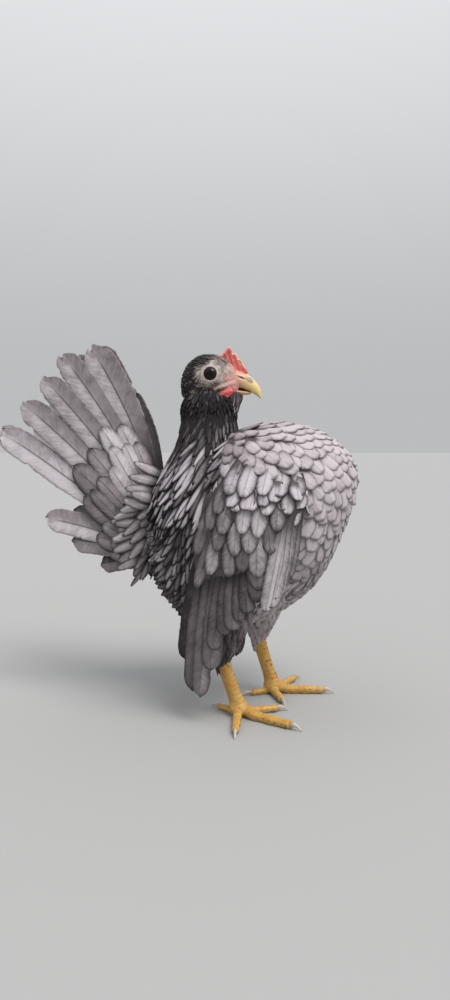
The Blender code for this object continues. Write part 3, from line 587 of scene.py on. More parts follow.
# Comb and wattles.
# A hen's small single comb: a fleshy red blade with uneven points and a paler, swollen rim, rooted on
# the forehead. The wattles are two small folds of the same skin that hang at the corners of the gape.
COMB_OUTLINE = [  # along the bill and up, in the head's frame
    (0.6, 10.2), (2.6, 12.8), (4.6, 16.4), (6.2, 15.6), (7.2, 13.4), (8.8, 13.9), (10.2, 13), (11.2, 11.2),
    (13, 11), (14.6, 9), (16.6, 7.1), (17.2, 5.4), (15, 3.6), (8, 6), (2, 7),
]
COMB_MIDDLE = np.array((8.4, 8.8))
COMB_THICKNESS = 2.6
COMB_POINTS = 104
WATTLE_PLACE = (9.4, 6.4, -7.4)
WATTLE_SIZE = (2.5, 1.2, 4.6)
WATTLE_LEAN = math.radians(-48.0)
COMB_RED = (0.66, 0.075, 0.080)
COMB_PEACH = (0.82, 0.38, 0.25)
comb_look, c = material("comb_flesh", 0.42, Specular_IOR_Level=0.45)
pebble = c.node("ShaderNodeTexVoronoi", Scale=1500.0, Vector=c.node("ShaderNodeTexCoord", None, 3))
swell = grain(c, 380.0, 3.0)
flesh = (mark(c, "rim") + (swell - 0.5) * 0.55).rise(0.30, 1.0).tint(COMB_RED, COMB_PEACH)
flesh = (pebble.rise(0.1, 0.6) * 0.22).tint(flesh, (0.85, 0.42, 0.36))
paint(c, flesh, pebble * 0.8 + swell, 0.00028)

closed = COMB_OUTLINE[-1:] + COMB_OUTLINE + COMB_OUTLINE[:2]
turns = 1 + np.arange(COMB_POINTS) / COMB_POINTS * len(COMB_OUTLINE)
outline = np.array([smooth(closed, turn / (len(closed) - 1)) for turn in turns])
shares = np.sin(np.linspace(0, math.pi / 2, 14))
rings = []
for way, run in ((1, shares), (-1, shares[-2::-1])):
    for share in run:
        flat = COMB_MIDDLE + (outline - COMB_MIDDLE) * (0.02 + 0.98 * share)
        edge = 1 - share
        thick = COMB_THICKNESS / 2 * min(1.0, (edge / 0.09) ** 0.5) * (1.0 - 0.38 * step(edge, 0.12, 0.42))
        wave = 0.30 * np.sin(flat[:, 0] * 0.9) * step(flat[:, 1], 8, 14)
        fold = 0.22 * np.sin(flat[:, 0] * 2.3 + flat[:, 1] * 1.4) * min(1.0, edge * 4)
        rings.append(np.stack([flat[:, 0], way * (thick + fold) + wave, flat[:, 1]], -1))
verts, faces = loft(rings)
share = np.concatenate([np.repeat(np.concatenate([shares, shares[-2::-1]]), COMB_POINTS), [0, 0]])
rim = step(share - 0.62 + 0.30 * step(verts[:, 0], 5, 12), 0, 0.38) * step(verts[:, 2], 5.5, 9.0)
dress(mesh_object("comb_blade", from_head(verts), faces, comb_look, rim=rim), "comb", "comb")

lean = np.array(Matrix.Rotation(-WATTLE_LEAN, 3, "Y"))
deep, thick, tall = WATTLE_SIZE
for word, side in SIDES.items():
    centre = np.array(WATTLE_PLACE) * (1, side, 1)
    rings = []
    for a in np.linspace(0.05, math.pi - 0.05, 40):
        width = math.sin(a) ** 0.8
        ring = level_ring((0, 0, math.cos(a) * tall), deep * width, thick * width, 48)
        ring[:, 1] += side * 0.22 * np.sin((ring[:, 0] + centre[0]) * 1.9 + 2.0 * a) * width
        rings.append(centre + ring @ lean.T)
    verts, faces = loft(rings)
    rim = 0.15 + 0.3 * step(centre[2] - verts[:, 2], 1.5, 3.6)
    wattle = mesh_object("wattle_fold_" + word, from_head(verts), faces, comb_look, rim=rim)
    dress(wattle, "comb", "wattle_" + word)


# Legs.
# Bare shanks and feet in one horny skin: overlapping plates down the front of the shank and along the
# top of each toe, fine round scales elsewhere, pads below, and yellow with brown flecks.
LEGS = {
    "right": dict(side=-1, hock=(3.6, 19.7, 25.0), hub=(11.5, 17.6, 5.4), toes=dict(
        inner=(30.0, 20.0), middle=(-21.0, 30.0), outer=(-79.0, 24.0), hind=(152.0, 12.5))),
    "left": dict(side=1, hock=(13.6, 18.2, 27.0), hub=(21.3, 20.1, 5.4), toes=dict(
        inner=(62.0, 17.0), middle=(-12.0, 27.0), outer=(-70.0, 24.0), hind=(143.0, 12.5))),
}
SHANK_RADIUS = 3.3
SHANK_LENGTHENED = 3.5  # up into the thigh
FOOT_PAD = (4.9, 4.3, 4.6)  # radius, middle's height and half height
TOE_RADIUS = dict(inner=2.2, middle=2.5, outer=2.2, hind=1.9)
LEG_GRID = 0.00052
PLATE_RISE = 0.32
PLATE_LENGTH = 2.3
LEG_YELLOW = (0.60, 0.38, 0.105)
LEG_AMBER = (0.60, 0.30, 0.060)
LEG_PALE = (0.74, 0.52, 0.20)
LEG_BROWN = (0.10, 0.045, 0.020)


def toe_line(leg, toe):
    """Points along a toe's middle from inside the foot to the claw, its radii and the way that it points."""
    turn, length = leg["toes"][toe]
    a = math.radians(turn)
    way = np.array((math.cos(a), -leg["side"] * math.sin(a), 0))
    t = np.linspace(0, 1, 26)[:, None]
    r = TOE_RADIUS[toe]
    height = r * 0.86 + (4.6 - r) * np.maximum(0, 1 - t * 2.6) ** 1.5
    start = np.array((leg["hub"][0], leg["side"] * leg["hub"][1], 0))
    points = start + way * length * t + np.array((0, 0, 1.0)) * height
    radii = r * (1 + 0.09 * np.cos(t[:, 0] * math.pi * 6)) * (1.05 - 0.25 * t[:, 0])
    return points, radii, way


def along_line(points, line):
    """For each point, its place along a line of points as a length, its offset from it and their distance."""
    best = np.full(len(points), 1e9)
    place, offset, gone = np.zeros(len(points)), np.zeros((len(points), 3)), 0.0
    for a, b in zip(line[:-1], line[1:]):
        span = b - a
        size = np.linalg.norm(span)
        t = np.clip((points - a) @ span / size**2, 0, 1)
        away = points - (a + t[:, None] * span)
        distance = np.linalg.norm(away, axis=1)
        nearer = distance < best
        best[nearer], place[nearer], offset[nearer] = distance[nearer], gone + t[nearer] * size, away[nearer]
        gone += size
    return place, offset, best


leg_look, g = material("leg_scale", 0.46, Specular_IOR_Level=0.45, Coat_Weight=0.08, Coat_Roughness=0.4)
place_3d = g.node("ShaderNodeTexCoord", None, 3)
cells = g.node("ShaderNodeTexVoronoi", {"feature": "DISTANCE_TO_EDGE"}, Scale=1150.0, Vector=place_3d)
patchy, flecks, front_mark = grain(g, 230.0, 3.0), grain(g, 620.0, 4.0), mark(g, "front")
yellow = patchy.rise(0.35, 0.65).tint(LEG_YELLOW, LEG_AMBER)
yellow = (mark(g, "pad") * 0.8).tint(yellow, LEG_PALE)
speck = flecks.rise(0.56, 0.64) * mark(g, "fleck")
# Darker along the foot of each front plate, in the crease where it tucks under the plate above.
plate_crease_dark = mark(g, "plate").fall(0.0, 0.16) * front_mark * 0.8
seam = cells.fall(0.0, 0.10) * (1 - front_mark) * 0.25
fleck_and_crease_dark = speck.most(plate_crease_dark).most(seam) * 0.9
paint(g, fleck_and_crease_dark.tint(yellow, LEG_BROWN), cells.rise(0.0, 0.2) * (1 - front_mark) + flecks * 0.3, 0.00016)

for word, leg in LEGS.items():
    side = leg["side"]
    top = np.array(leg["hock"]) * (1, side, 1) + (0, 0, SHANK_LENGTHENED)
    foot = np.array(leg["hub"]) * (1, side, 1)
    axis = unit(foot - top)
    front = unit(np.array((1.0, 0, 0)) - axis * axis[0])
    across = np.cross(axis, front)
    rings = []
    for t in np.linspace(0, 1, 30):
        r = SHANK_RADIUS * (1 + 0.27 * max(0, t - 0.75) * 4 + 0.21 * max(0, 0.25 - t) * 4)
        rings.append(ellipse(top + (foot - top) * t, front * r * 1.04, across * r * 0.9, 32))
    shells = [loft(rings)]
    rings = []
    for a in np.linspace(0.1, math.pi - 0.1, 16):
        r = FOOT_PAD[0] * math.sin(a)
        rings.append(level_ring((foot[0], foot[1], FOOT_PAD[1] + FOOT_PAD[2] * math.cos(a)), r, r, 32))
    shells.append(loft(rings))
    lines = {"shank": (top + (foot - top) * np.linspace(0, 1, 12)[:, None], front)}
    for toe in leg["toes"]:
        points, radii, way = toe_line(leg, toe)
        beside = np.cross(way, (0, 0, 1.0))
        shells.append(loft([ellipse(p, beside * r, (0, 0, r), 24) for p, r in zip(points, radii)]))
        lines[toe] = (points[2:], np.array((0, 0, 1.0)))
    piece = mesh_object("leg_" + word, *join_shells(shells), leg_look)
    grid = piece.modifiers.new("grid", "REMESH")
    grid.mode, grid.voxel_size, grid.use_smooth_shade = "VOXEL", LEG_GRID, True
    relax = piece.modifiers.new("relax", "SMOOTH")
    relax.factor, relax.iterations = 0.5, 5
    fused = bpy.data.meshes.new_from_object(piece.evaluated_get(bpy.context.evaluated_depsgraph_get()))
    piece.modifiers.clear()
    piece.data = fused
    points = np.empty(len(fused.vertices) * 3, np.float32)
    fused.vertices.foreach_get("co", points)
    points = points.reshape(-1, 3).astype(float) * 1000 + FLOOR_CENTRE
    normals = np.array([v.normal for v in fused.vertices])
    plate, facing, nearest = np.zeros(len(points)), np.zeros(len(points)), np.full(len(points), 1e9)
    for key, (line, out) in lines.items():
        place, offset, distance = along_line(points, line)
        distance = distance - (0.9 if key == "shank" else 0)
        mine = distance < nearest
        nearest[mine] = distance[mine]
        plate[mine] = (place[mine] / PLATE_LENGTH) % 1.0
        facing[mine] = step(unit(offset[mine]) @ out, 0.15, 0.6)
    points += normals * (PLATE_RISE * facing * (plate**0.7 - 0.35) * step(nearest, 0.2, 1.2))[:, None]
    points[:, 2] = np.maximum(points[:, 2], 0.03)
    fused.vertices.foreach_set("co", in_row(points).astype(np.float32).ravel())
    fused.update()
    below = step(-normals[:, 2], 0.2, 0.8) * (points[:, 2] < 5)
    lower = np.maximum(facing * step(points[:, 2], 7, 10), (1 - facing) * (points[:, 2] < 4) * 0.6)
    add_marks(fused, plate=plate, front=facing, pad=below, fleck=0.25 + 0.75 * lower)
    dress(piece, "scale", "shank_" + word, "foot_" + word)


# Claws.
# Short, worn horn claws, whitish at the tip and stained where they leave the toe. Each follows its
# solid: a little arched, and resting on its tip.
CLAW_LENGTH = 6.0
CLAW_ARCH = 0.7
CLAW_TIP_HEIGHT = 0.29
CLAW_START = 0.32
CLAW_BROWN = (0.42, 0.27, 0.13)
CLAW_WHITE = (0.49, 0.46, 0.41)
claw_look, n = material("claw_horn", 0.32, Coat_Weight=0.15, Coat_Roughness=0.3)
fibre = grain(n, 900.0, 3.0)
claw_colour = (mark(n, "along") + (fibre - 0.5) * 0.4).rise(0.0, 0.45)
paint(n, claw_colour.tint(CLAW_BROWN, CLAW_WHITE), fibre, 0.00015)
claw_steps = np.linspace(-0.22, 1, 22)
for word, leg in LEGS.items():
    shells, lengths = [], []
    for toe in leg["toes"]:
        points, radii, way = toe_line(leg, toe)
        root = points[-1] + way * CLAW_START
        beside = np.cross(way, (0, 0, 1.0))
        rings = []
        for t in claw_steps:
            reach = max(t, 0)
            arch = CLAW_ARCH * math.sin(math.pi * reach) - (root[2] - CLAW_TIP_HEIGHT) * reach**2
            size = radii[-1] * 0.78 * (1 - 0.86 * reach**1.1)
            middle = root + way * CLAW_LENGTH * t + (0, 0, arch)
            ring = ellipse(middle, beside * size * 0.78, (0, 0, size), 20)
            rings.append(np.maximum(ring, (-1e9, -1e9, 0.02)))
        shells.append(loft(rings))
        lengths.append(np.concatenate([np.repeat(claw_steps, 20), [0, 1]]))
    verts, faces = join_shells(shells)
    claws = mesh_object("claws_" + word, verts, faces, claw_look, along=np.concatenate(lengths))
    dress(claws, "nail", *[f"claw_{toe}_{word}" for toe in leg["toes"]])


# Tail.
# Six broad quills a side stand in a tent with its ridge forward, blunt and frayed at their ends. Longer
# and shorter coverts lie over their feet, and soft pale feathers close the tail from below.
def vane_outline(t, tip=0.80, root=0.30, sharp=2.2, end=0.0):
    """Half width along a vane as a share of its widest, from its root to its tip."""
    t = np.asarray(t, float)
    swell = root + (1 - root) * np.clip(t / 0.55, 0, 1) ** 0.8
    fall = np.clip((t - tip) / (1 - tip), 0, 1)
    return swell * np.maximum(1 - (1 - end) * fall**sharp, 0.0) ** 0.55


PATCH_SHARE = 0.86  # of its cell, for the patch that a large vane has in the bake


class Coat:
    """Collects vanes, each a closed grid, into one mesh that carries their markings."""

    def __init__(self, across, along):
        self.across, self.along = np.array(across, float), np.array(along, float)
        self.parts = []

    def add(
        self, line, outs, half, shade, draw, thick=0.25, camber=0.1, tilt=0.0, outline=None, web=1, fray=0.0
    ):
        """Lays a vane along a line of points, with the way out at each. fray splits and roughens its edge."""
        line, outs = np.asarray(line, float), np.asarray(outs, float)
        ahead = unit(np.gradient(line, axis=0))
        side = unit(np.cross(ahead, outs))
        up = np.cross(side, ahead)
        a = math.radians(tilt)
        side, up = side * math.cos(a) + up * math.sin(a), up * math.cos(a) - side * math.sin(a)
        rng = np.random.default_rng(int(draw * 1e6))
        edge = 1.0 + 0.3 * fray * rng.uniform(-1, 0.3, (len(self.along), 2))
        for which in range(2):
            for _ in range(rng.integers(2, 5) if fray else 0):
                at, deep, reach = rng.uniform(0.3, 1.0), rng.uniform(0.3, 1.4) * fray, rng.uniform(0.02, 0.06)
                behind = np.clip(1 - (at - self.along) / reach, 0, 1) * (self.along <= at)
                edge[:, which] *= 1 - deep * behind
        w = half * (outline if outline is not None else vane_outline(self.along))[:, None]
        u = self.across[None, :]
        spread = u * np.where(u < 0, edge[:, :1], edge[:, 1:]) * w
        drop = camber * spread**2 / half
        ragged = rng.uniform(-1, 0.6, len(self.across)) * fray * half * 1.6
        push = step(self.along, 0.82, 1.0)[:, None] * ragged[None, :]
        middle = line[:, None] + side[:, None] * spread[..., None] + ahead[:, None] * push[..., None]
        quill = np.exp(-((spread / (0.07 * half + 0.10)) ** 2))
        top = middle + up[:, None] * (thick * (0.5 + 0.8 * quill) - drop)[..., None]
        under = middle + up[:, None] * (-thick * 0.5 - drop)[..., None]
        self.parts.append((top, under, shade, draw, web))

    def object(self, name, look):
        rows, cols, count = len(self.along), len(self.across), len(self.parts)
        n = rows * cols
        grid = np.arange(n).reshape(rows, cols)
        quads = np.stack([grid[:-1, :-1], grid[:-1, 1:], grid[1:, 1:], grid[1:, :-1]], -1).reshape(-1, 4)
        rim = np.concatenate([grid[0, :], grid[1:, -1], grid[-1, -2::-1], grid[-2:0:-1, 0]])
        after = np.roll(rim, -1)
        one = np.concatenate([quads, quads[:, ::-1] + n, np.stack([rim, rim + n, after + n, after], -1)])
        sheets = [np.concatenate([top.reshape(-1, 3), low.reshape(-1, 3)]) for top, low, *_ in self.parts]
        verts = np.stack(sheets)
        every = (one[None] + (np.arange(count) * 2 * n)[:, None, None]).reshape(-1, 4)
        u = np.tile(np.broadcast_to(self.across, (rows, cols)).ravel(), 2 * count)
        v = np.tile(np.broadcast_to(self.along[:, None], (rows, cols)).ravel(), 2 * count)
        shade, draw, web = (np.repeat([float(p[k]) for p in self.parts], 2 * n) for k in (2, 3, 4))
        marks = dict(across=u * web, along=v, shade=shade, draw=draw)
        obj = mesh_object(name, verts.reshape(-1, 3), every.tolist(), look, **marks)
        cells = math.ceil(math.sqrt(count))
        home = np.stack([np.arange(count) % cells, np.arange(count) // cells], -1)
        patch = np.stack([u * 0.5 + 0.5, v], -1) * PATCH_SHARE + (1 - PATCH_SHARE) / 2
        patch = (patch + np.repeat(home, 2 * n, 0)) / cells
        bake = obj.data.uv_layers.new(name="OFBake")
        bake.data.foreach_set("uv", patch[every.ravel()].astype(np.float32).ravel())
        return obj


def lay(coat, place, start, end, half, shade, draw, bow=0.0, **more):
    """A vane over a curved layer. place(u, v, out) gives a point, and start and end are (u, v, out)."""
    points, outs = [], []
    for t in coat.along:
        u, v, out = (a + (b - a) * t for a, b in zip(start, end))
        out += bow * math.sin(math.pi * t)
        here = np.array(place(u, v, out))
        points.append(here)
        outs.append(np.array(place(u, v, out + 1.0)) - here)
    coat.add(points, unit(np.array(outs)), half, shade, draw, **more)


def feather_look(name, colours, lace, ratio, barbs, laced, shaft=0.4, web=0.0, fringe=0.0):
    """Feather finish: pale middle, dark lacing from lace[0] to lace[1], shaft, barbs, and dark down with
    painted shade.

    colours are its pale, middle and dark one. ratio is the vane's length over its half width, and barbs
    the number of strands in a half width.
    """
    pale, mid, dark = colours
    look, f = material(name, 0.66, Specular_IOR_Level=0.25)
    u, v, shade, draw = (mark(f, key) for key in ("across", "along", "shade", "draw"))
    off = u.maths("ABSOLUTE", u)
    slant = (v * ratio - off * 0.8) * barbs
    strand = grain(f, 1.0, 3.0, f.node("ShaderNodeCombineXYZ", X=slant, Y=u * 1.6, Z=draw * 50.0))
    cloud = grain(f, 190.0, 2.0)
    reach = off.most(1 - (1 - v) * ratio)
    tone = shade + (cloud - 0.5) * 0.5 + (draw - 0.5) * 0.26 + (strand - 0.5) * 0.42
    tone = tone + reach.rise(0.2, 1.0) * 0.12
    if web:
        tone = tone + u.rise(-0.04, 0.10) * web
    middle = tone.rise(-0.05, 0.55).tint(pale, mid)
    middle = tone.rise(0.45, 1.10).tint(middle, dark)
    edge = (reach + (strand - 0.5) * 0.22 + (draw - 0.5) * 0.1).rise(*lace) * laced
    colour = edge.tint(middle, dark)
    colour = (off.fall(0.02, 0.085) * v.rise(0.1, 0.35) * v.fall(0.8, 1.0) * shaft).tint(colour, dark)
    if fringe:
        colour = (reach.rise(0.93, 1.02) * fringe).tint(colour, pale)
    # Dark towards the root: partly the feather's dark down, partly painted shade where the feathers above
    # overlap it.
    colour = (v.fall(0.12, 0.50) * 0.85).tint(colour, dark)
    paint(f, colour, strand * (0.5 + off * 0.5) + off.fall(0.0, 0.12) * 0.35, 0.00030)
    return look


TAIL_FAN = [  # root, tip and half width, from the ridge down
    ((-34, 1.2, 116), (-50.5, 1.6, 162), 3.9), ((-36, 2.6, 112), (-71.5, 5, 186), 8.8),
    ((-38.5, 4, 106), (-86.5, 8.5, 182), 7.4), ((-41, 5.2, 100), (-96, 12, 170), 7.2),
    ((-43, 6.4, 93), (-107, 15, 157), 7.6), ((-44, 7.4, 85), (-119, 17.5, 142), 7.6),
    ((-44.5, 7, 80), (-94, 15, 96), 6.6), ((-44, 6, 76), (-81, 11, 84), 6.4),
    ((-43, 4.5, 73), (-66, 8, 71), 5.4),
]
STIFF_QUILLS = 6
QUILL_SHADES = (0.60, 0.20, 0.16, 0.14, 0.12, -0.12, 0.26, 0.34, 0.45)
TAIL_TILT = 13.0
TAIL_COVERTS = [  # place in the fan, its start and end along it, depth at start and end, half width, shade
    (1.5, 0.05, 0.44, 1.6, 2, 6.2, 0.20), (2.4, 0.05, 0.52, 1.6, 2, 6.4, 0.16),
    (3.4, 0.05, 0.50, 1.7, 2.2, 6.8, 0.34), (4.4, 0.06, 0.53, 1.8, 2.6, 7.8, 0.52),
    (5.2, 0.06, 0.40, 1.8, 2.4, 6.4, 0.66), (6.2, 0.06, 0.50, 1.8, 2.6, 6, 0.50),
    (7.2, 0.05, 0.55, 1.8, 2.6, 5.6, 0.48), (8, 0.05, 0.60, 1.8, 2.4, 4.6, 0.60),
    (1.1, 0.02, 0.31, 3, 3.2, 4.8, 0.20), (1.8, 0.02, 0.34, 3.2, 3.4, 5.2, 0.12),
    (2.6, 0.02, 0.39, 3.2, 3.8, 5.2, 0.08), (3.2, 0.02, 0.33, 3.5, 3.9, 5, 0.30),
    (3.9, 0.02, 0.37, 3.4, 4, 5.6, 0.36), (4.7, 0.03, 0.36, 3.4, 4, 4.6, 0.52),
    (5.5, 0.03, 0.30, 3.4, 3.8, 4.4, 0.60), (6.4, 0.03, 0.34, 3.4, 3.9, 4.2, 0.48),
    (7.4, 0.03, 0.40, 3.4, 3.8, 4, 0.46),
]
QUILL_ACROSS = (-1, -0.84, -0.64, -0.42, -0.2, -0.07, 0, 0.07, 0.2, 0.42, 0.64, 0.84, 1)
COVERT_ACROSS = (-1, -0.72, -0.36, -0.1, 0, 0.1, 0.36, 0.72, 1)
COVERT_ALONG = (0, 0.14, 0.28, 0.42, 0.55, 0.66, 0.76, 0.84, 0.90, 0.95, 0.98, 1.0)
QUILL_COLOURS = ((0.62, 0.57, 0.595), (0.26, 0.225, 0.24), (0.040, 0.031, 0.033))


def tail_place(side):
    """place(k, share, out): a point along the k-th feather of the fan, so far out from it."""

    def place(k, share, out):
        root, tip = (smooth([row[i] for row in TAIL_FAN], k / (len(TAIL_FAN) - 1)) for i in (0, 1))
        bow = 1.75 * math.sin(math.pi * min(max(share, 0), 1))
        x, y, z = root + (tip - root) * share
        return (x + bow, side * (y + out), z + bow)

    return place


quills, coverts = Coat(QUILL_ACROSS, np.linspace(0, 1, 60)), Coat(COVERT_ACROSS, COVERT_ALONG)
covert_shape = vane_outline(coverts.along, 0.62, 0.4, 2.2)
draw = random.Random(5)
for side in (-1, 1):
    place = tail_place(side)
    for k, (_, _, half) in enumerate(TAIL_FAN):
        stiff = k < STIFF_QUILLS
        shape = vane_outline(quills.along, 0.86, *((0.15, 3.0, 0.12) if stiff else (0.34, 2.0, 0.0)))
        lay(
            quills, place, (k, 0.0, 0), (k, 1.0, 0), half, QUILL_SHADES[k], draw.random(),
            tilt=side * TAIL_TILT, outline=shape, camber=0.07, thick=0.36, web=-side,
            fray=0.16 if stiff else 0.10,
        )
    for k, start, end, low, high, half, shade in TAIL_COVERTS:
        swing = draw.uniform(-0.12, 0.12)
        lay(
            coverts, place, (k, start, low), (k + swing, end * draw.uniform(0.97, 1.03), high), half,
            shade + draw.uniform(-0.08, 0.08), draw.random(), tilt=side * (TAIL_TILT + draw.uniform(-4, 4)),
            outline=covert_shape, camber=0.30, thick=0.3, bow=0.9, web=-side, fray=0.05,
        )
quill_look = feather_look("tail_quill", QUILL_COLOURS, (0.82, 1.10), 9.0, 5.0, 0.25, 0.75, 0.34, 0.40)
covert_look = feather_look("tail_covert", QUILL_COLOURS, (0.52, 1.06), 5.0, 4.5, 0.88, 0.55, 0.12)
tail_quills = quills.object("tail_quills", quill_look)
tail_coverts = coverts.object("tail_coverts", covert_look)
dress(tail_quills, "plumage", "tail")
dress(tail_coverts, "plumage")


# Wings.
# Folded and hanging straight down: a plate of bone and skin under rounded coverts that grow larger
# downwards, a narrow pale bundle along the front edge, and long feathers that end close to the floor.
WING_OUT = 40.5
WING_CORE = [  # x and z of the plate's front and rear point, from the shoulder down
    (22, 126, 6, 119), (38, 121, -2, 108), (44.5, 110, -5, 96), (44.5, 98, -5.5, 86), (42.5, 88, -5, 77),
    (39, 80, -4, 70),
]
WING_FEATHERS = [  # root, tip, depth at root and tip, half width, shade, from the lowest layer up
    ((-3.5, 84), (-11.5, 31), -1.6, -0.9, 4.4, 0.72), ((-1, 82), (-7.5, 15.5), -1.3, -0.9, 4.7, 0.56),
    ((3, 82), (-2.5, 14.5), -0.9, -0.2, 4.9, 0.50), ((7, 80), (3, 28), -0.7, 0.2, 4.8, 0.56),
    ((9, 79), (5.5, 38), -0.6, 0.5, 4.4, 0.62), ((11, 79), (10.6, 45.5), -0.5, 0.8, 4.2, 0.56),
    ((14, 79), (14.8, 49), -0.4, 1, 4, 0.52), ((17, 79), (18.6, 53.5), -0.3, 1.1, 4, 0.50),
    ((20, 79), (22.3, 58), -0.2, 1.2, 4, 0.50), ((45, 104), (39.5, 75), 1.4, 2.9, 3.1, 0.34),
    ((44, 106), (37.4, 69.5), 1.7, 3.3, 3.5, 0.20), ((42.5, 107), (35.2, 64.5), 2, 3.7, 3.8, 0.08),
    ((41, 107), (32.9, 61), 2.3, 4, 3.9, 0.22), ((39, 106), (30.8, 59.5), 2.6, 4.3, 3.7, 0.06),
    ((26, 92), (27.6, 63.5), -0.4, 2, 6.2, 0.46), ((25.5, 94), (26.8, 68), 0.2, 2.5, 6.2, 0.42),
    ((6.5, 99), (-3.5, 66), -0.8, 1.6, 3.6, 0.42), ((9, 100), (4.2, 74), -0.3, 2.2, 4.4, 0.34),
    ((15, 100), (13.6, 73), -0.3, 2.2, 4.8, 0.42), ((20, 100), (20.5, 75.5), 0.2, 2.7, 4.8, 0.38),
    ((26.5, 101), (27.5, 74), 0.4, 3, 6.4, 0.36), ((33.5, 101), (33.8, 78), 0, 2.4, 4.8, 0.32),
    ((3, 108), (-4.5, 83), -0.8, 2.4, 3.8, 0.44), ((10, 108), (6.8, 86), -0.8, 3, 4.2, 0.38),
    ((17, 108), (15.4, 84.5), -0.8, 3.2, 4.6, 0.32), ((24, 109), (23.4, 84), -0.8, 3.6, 5.2, 0.28),
    ((31, 109), (31.6, 84.5), -0.8, 3.5, 5.2, 0.28), ((38, 108), (38.6, 88), -0.8, 2.6, 4, 0.30),
    ((6, 114), (2.5, 95), -1, 3.2, 3.8, 0.42), ((13, 114), (11, 94), -1, 3.7, 4.2, 0.32),
    ((20.5, 115), (19.4, 94), -1, 4.2, 4.6, 0.26), ((28, 115), (27.6, 93), -1, 4.3, 4.7, 0.22),
    ((35.5, 115), (35.8, 94), -1, 3.8, 4.5, 0.22), ((41.5, 112), (42.4, 97), -1, 2.6, 3.4, 0.26),
    ((10, 119), (7.5, 103), -3.5, 3.6, 4.2, 0.34), ((17, 121), (15, 103.5), -3.5, 4.3, 4.6, 0.24),
    ((24.5, 122), (23.2, 103), -3.5, 4.7, 4.7, 0.16), ((31.5, 121), (31.4, 103), -3.5, 4.6, 4.6, 0.12),
    ((38, 118), (39, 103.5), -3.5, 4, 4.4, 0.10), ((43.5, 115), (45, 104), -1, 2.6, 3.8, 0.12),
    ((15, 127), (12.5, 111), -5.5, 3.6, 4.2, 0.30), ((22, 129), (20, 111.5), -5.5, 4.4, 4.6, 0.18),
    ((29.5, 128), (28.5, 111), -5.5, 4.6, 4.7, 0.08), ((36.5, 125), (36.6, 111), -5.5, 4.2, 4.5, 0.04),
    ((42, 121), (43.4, 109.5), -3.5, 3, 4, 0.06),
]
LONG_FEATHERS = 14
PLATE_ROWS = 26
PLATE_COLUMNS = 18
PLATE_SUNK = 8.0  # how deep the plate's top lies under the shoulder
WING_COLOURS = ((0.52, 0.475, 0.50), (0.165, 0.145, 0.153), (0.028, 0.022, 0.024))


def wing_place(side):
    """place(x, z, out) on the wing's outer side, which hangs straight below the shoulder."""

    def place(x, z, out):
        sunk = 5.5 * ((x - 20) / 28) ** 2 + 5.0 * max(0.0, (z - 88) / 30) ** 2 + 2.0 * max(0.0, (50 - z) / 40)
        return (x, side * (WING_OUT + out - sunk), z)

    return place


long_look = feather_look("wing_quill", WING_COLOURS, (0.55, 1.12), 11.0, 4.0, 0.7, 0.4, 0.14)
wing_look = feather_look("wing_covert", WING_COLOURS, (0.42, 1.08), 5.0, 4.0, 0.92, 0.35)
wing_plates = {}
for word, side in SIDES.items():
    place = wing_place(side)
    rings = []
    for r, (fx, fz, bx, bz) in enumerate(stations(WING_CORE, PLATE_ROWS)):
        outer, inner = [], []
        sunk = PLATE_SUNK * max(0, 1 - r / 9) ** 1.5
        for share in np.arange(PLATE_COLUMNS) / (PLATE_COLUMNS - 1):
            x, z = fx + (bx - fx) * share, fz + (bz - fz) * share
            edge = math.sin(math.pi * (0.06 + 0.88 * share)) * min(1.0, 0.2 + (PLATE_ROWS - 1 - r) / 8)
            outer.append(place(x, z, 1.5 * edge - sunk))
            inner.append(place(x, z, -3.0 - sunk))
        rings.append(outer + inner[::-1])
    wing_plates[word] = loft(rings)
    plate = mesh_object("wing_plate_" + word, *wing_plates[word], skin_look)
    long, rows = Coat(QUILL_ACROSS, np.linspace(0, 1, 42)), Coat(COVERT_ACROSS, COVERT_ALONG)
    long_form = dict(outline=vane_outline(long.along, 0.86, 0.35, 2.2), camber=0.10, fray=0.08)
    short_form = dict(outline=vane_outline(rows.along, 0.56, 0.5, 2.1), camber=0.24, fray=0.03, bow=0.5)
    for k, (root, tip, low, high, half, shade) in enumerate(WING_FEATHERS):
        is_long = k < LONG_FEATHERS
        coat, loose, form = (long, 0.7, long_form) if is_long else (rows, 1.3, short_form)
        root = (root[0] + loose * draw.uniform(-0.6, 0.6), root[1] + loose * draw.uniform(-0.5, 0.5), low)
        tip = (tip[0] + loose * draw.uniform(-1, 1), tip[1] + loose * draw.uniform(-1.1, 1.1))
        lay(
            coat, place, root, (*tip, high + draw.uniform(-0.1, 0.3)), half * draw.uniform(0.90, 1.08),
            shade + loose * draw.uniform(-0.09, 0.09), draw.random(),
            tilt=-side * (8.0 if is_long else draw.uniform(0, 6)), thick=0.35, web=-side, **form,
        )
    dress(plate, "plumage")
    dress(long.object("wing_quills_" + word, long_look), "plumage", "wing_" + word)
    dress(rows.object("wing_coverts_" + word, wing_look), "plumage")


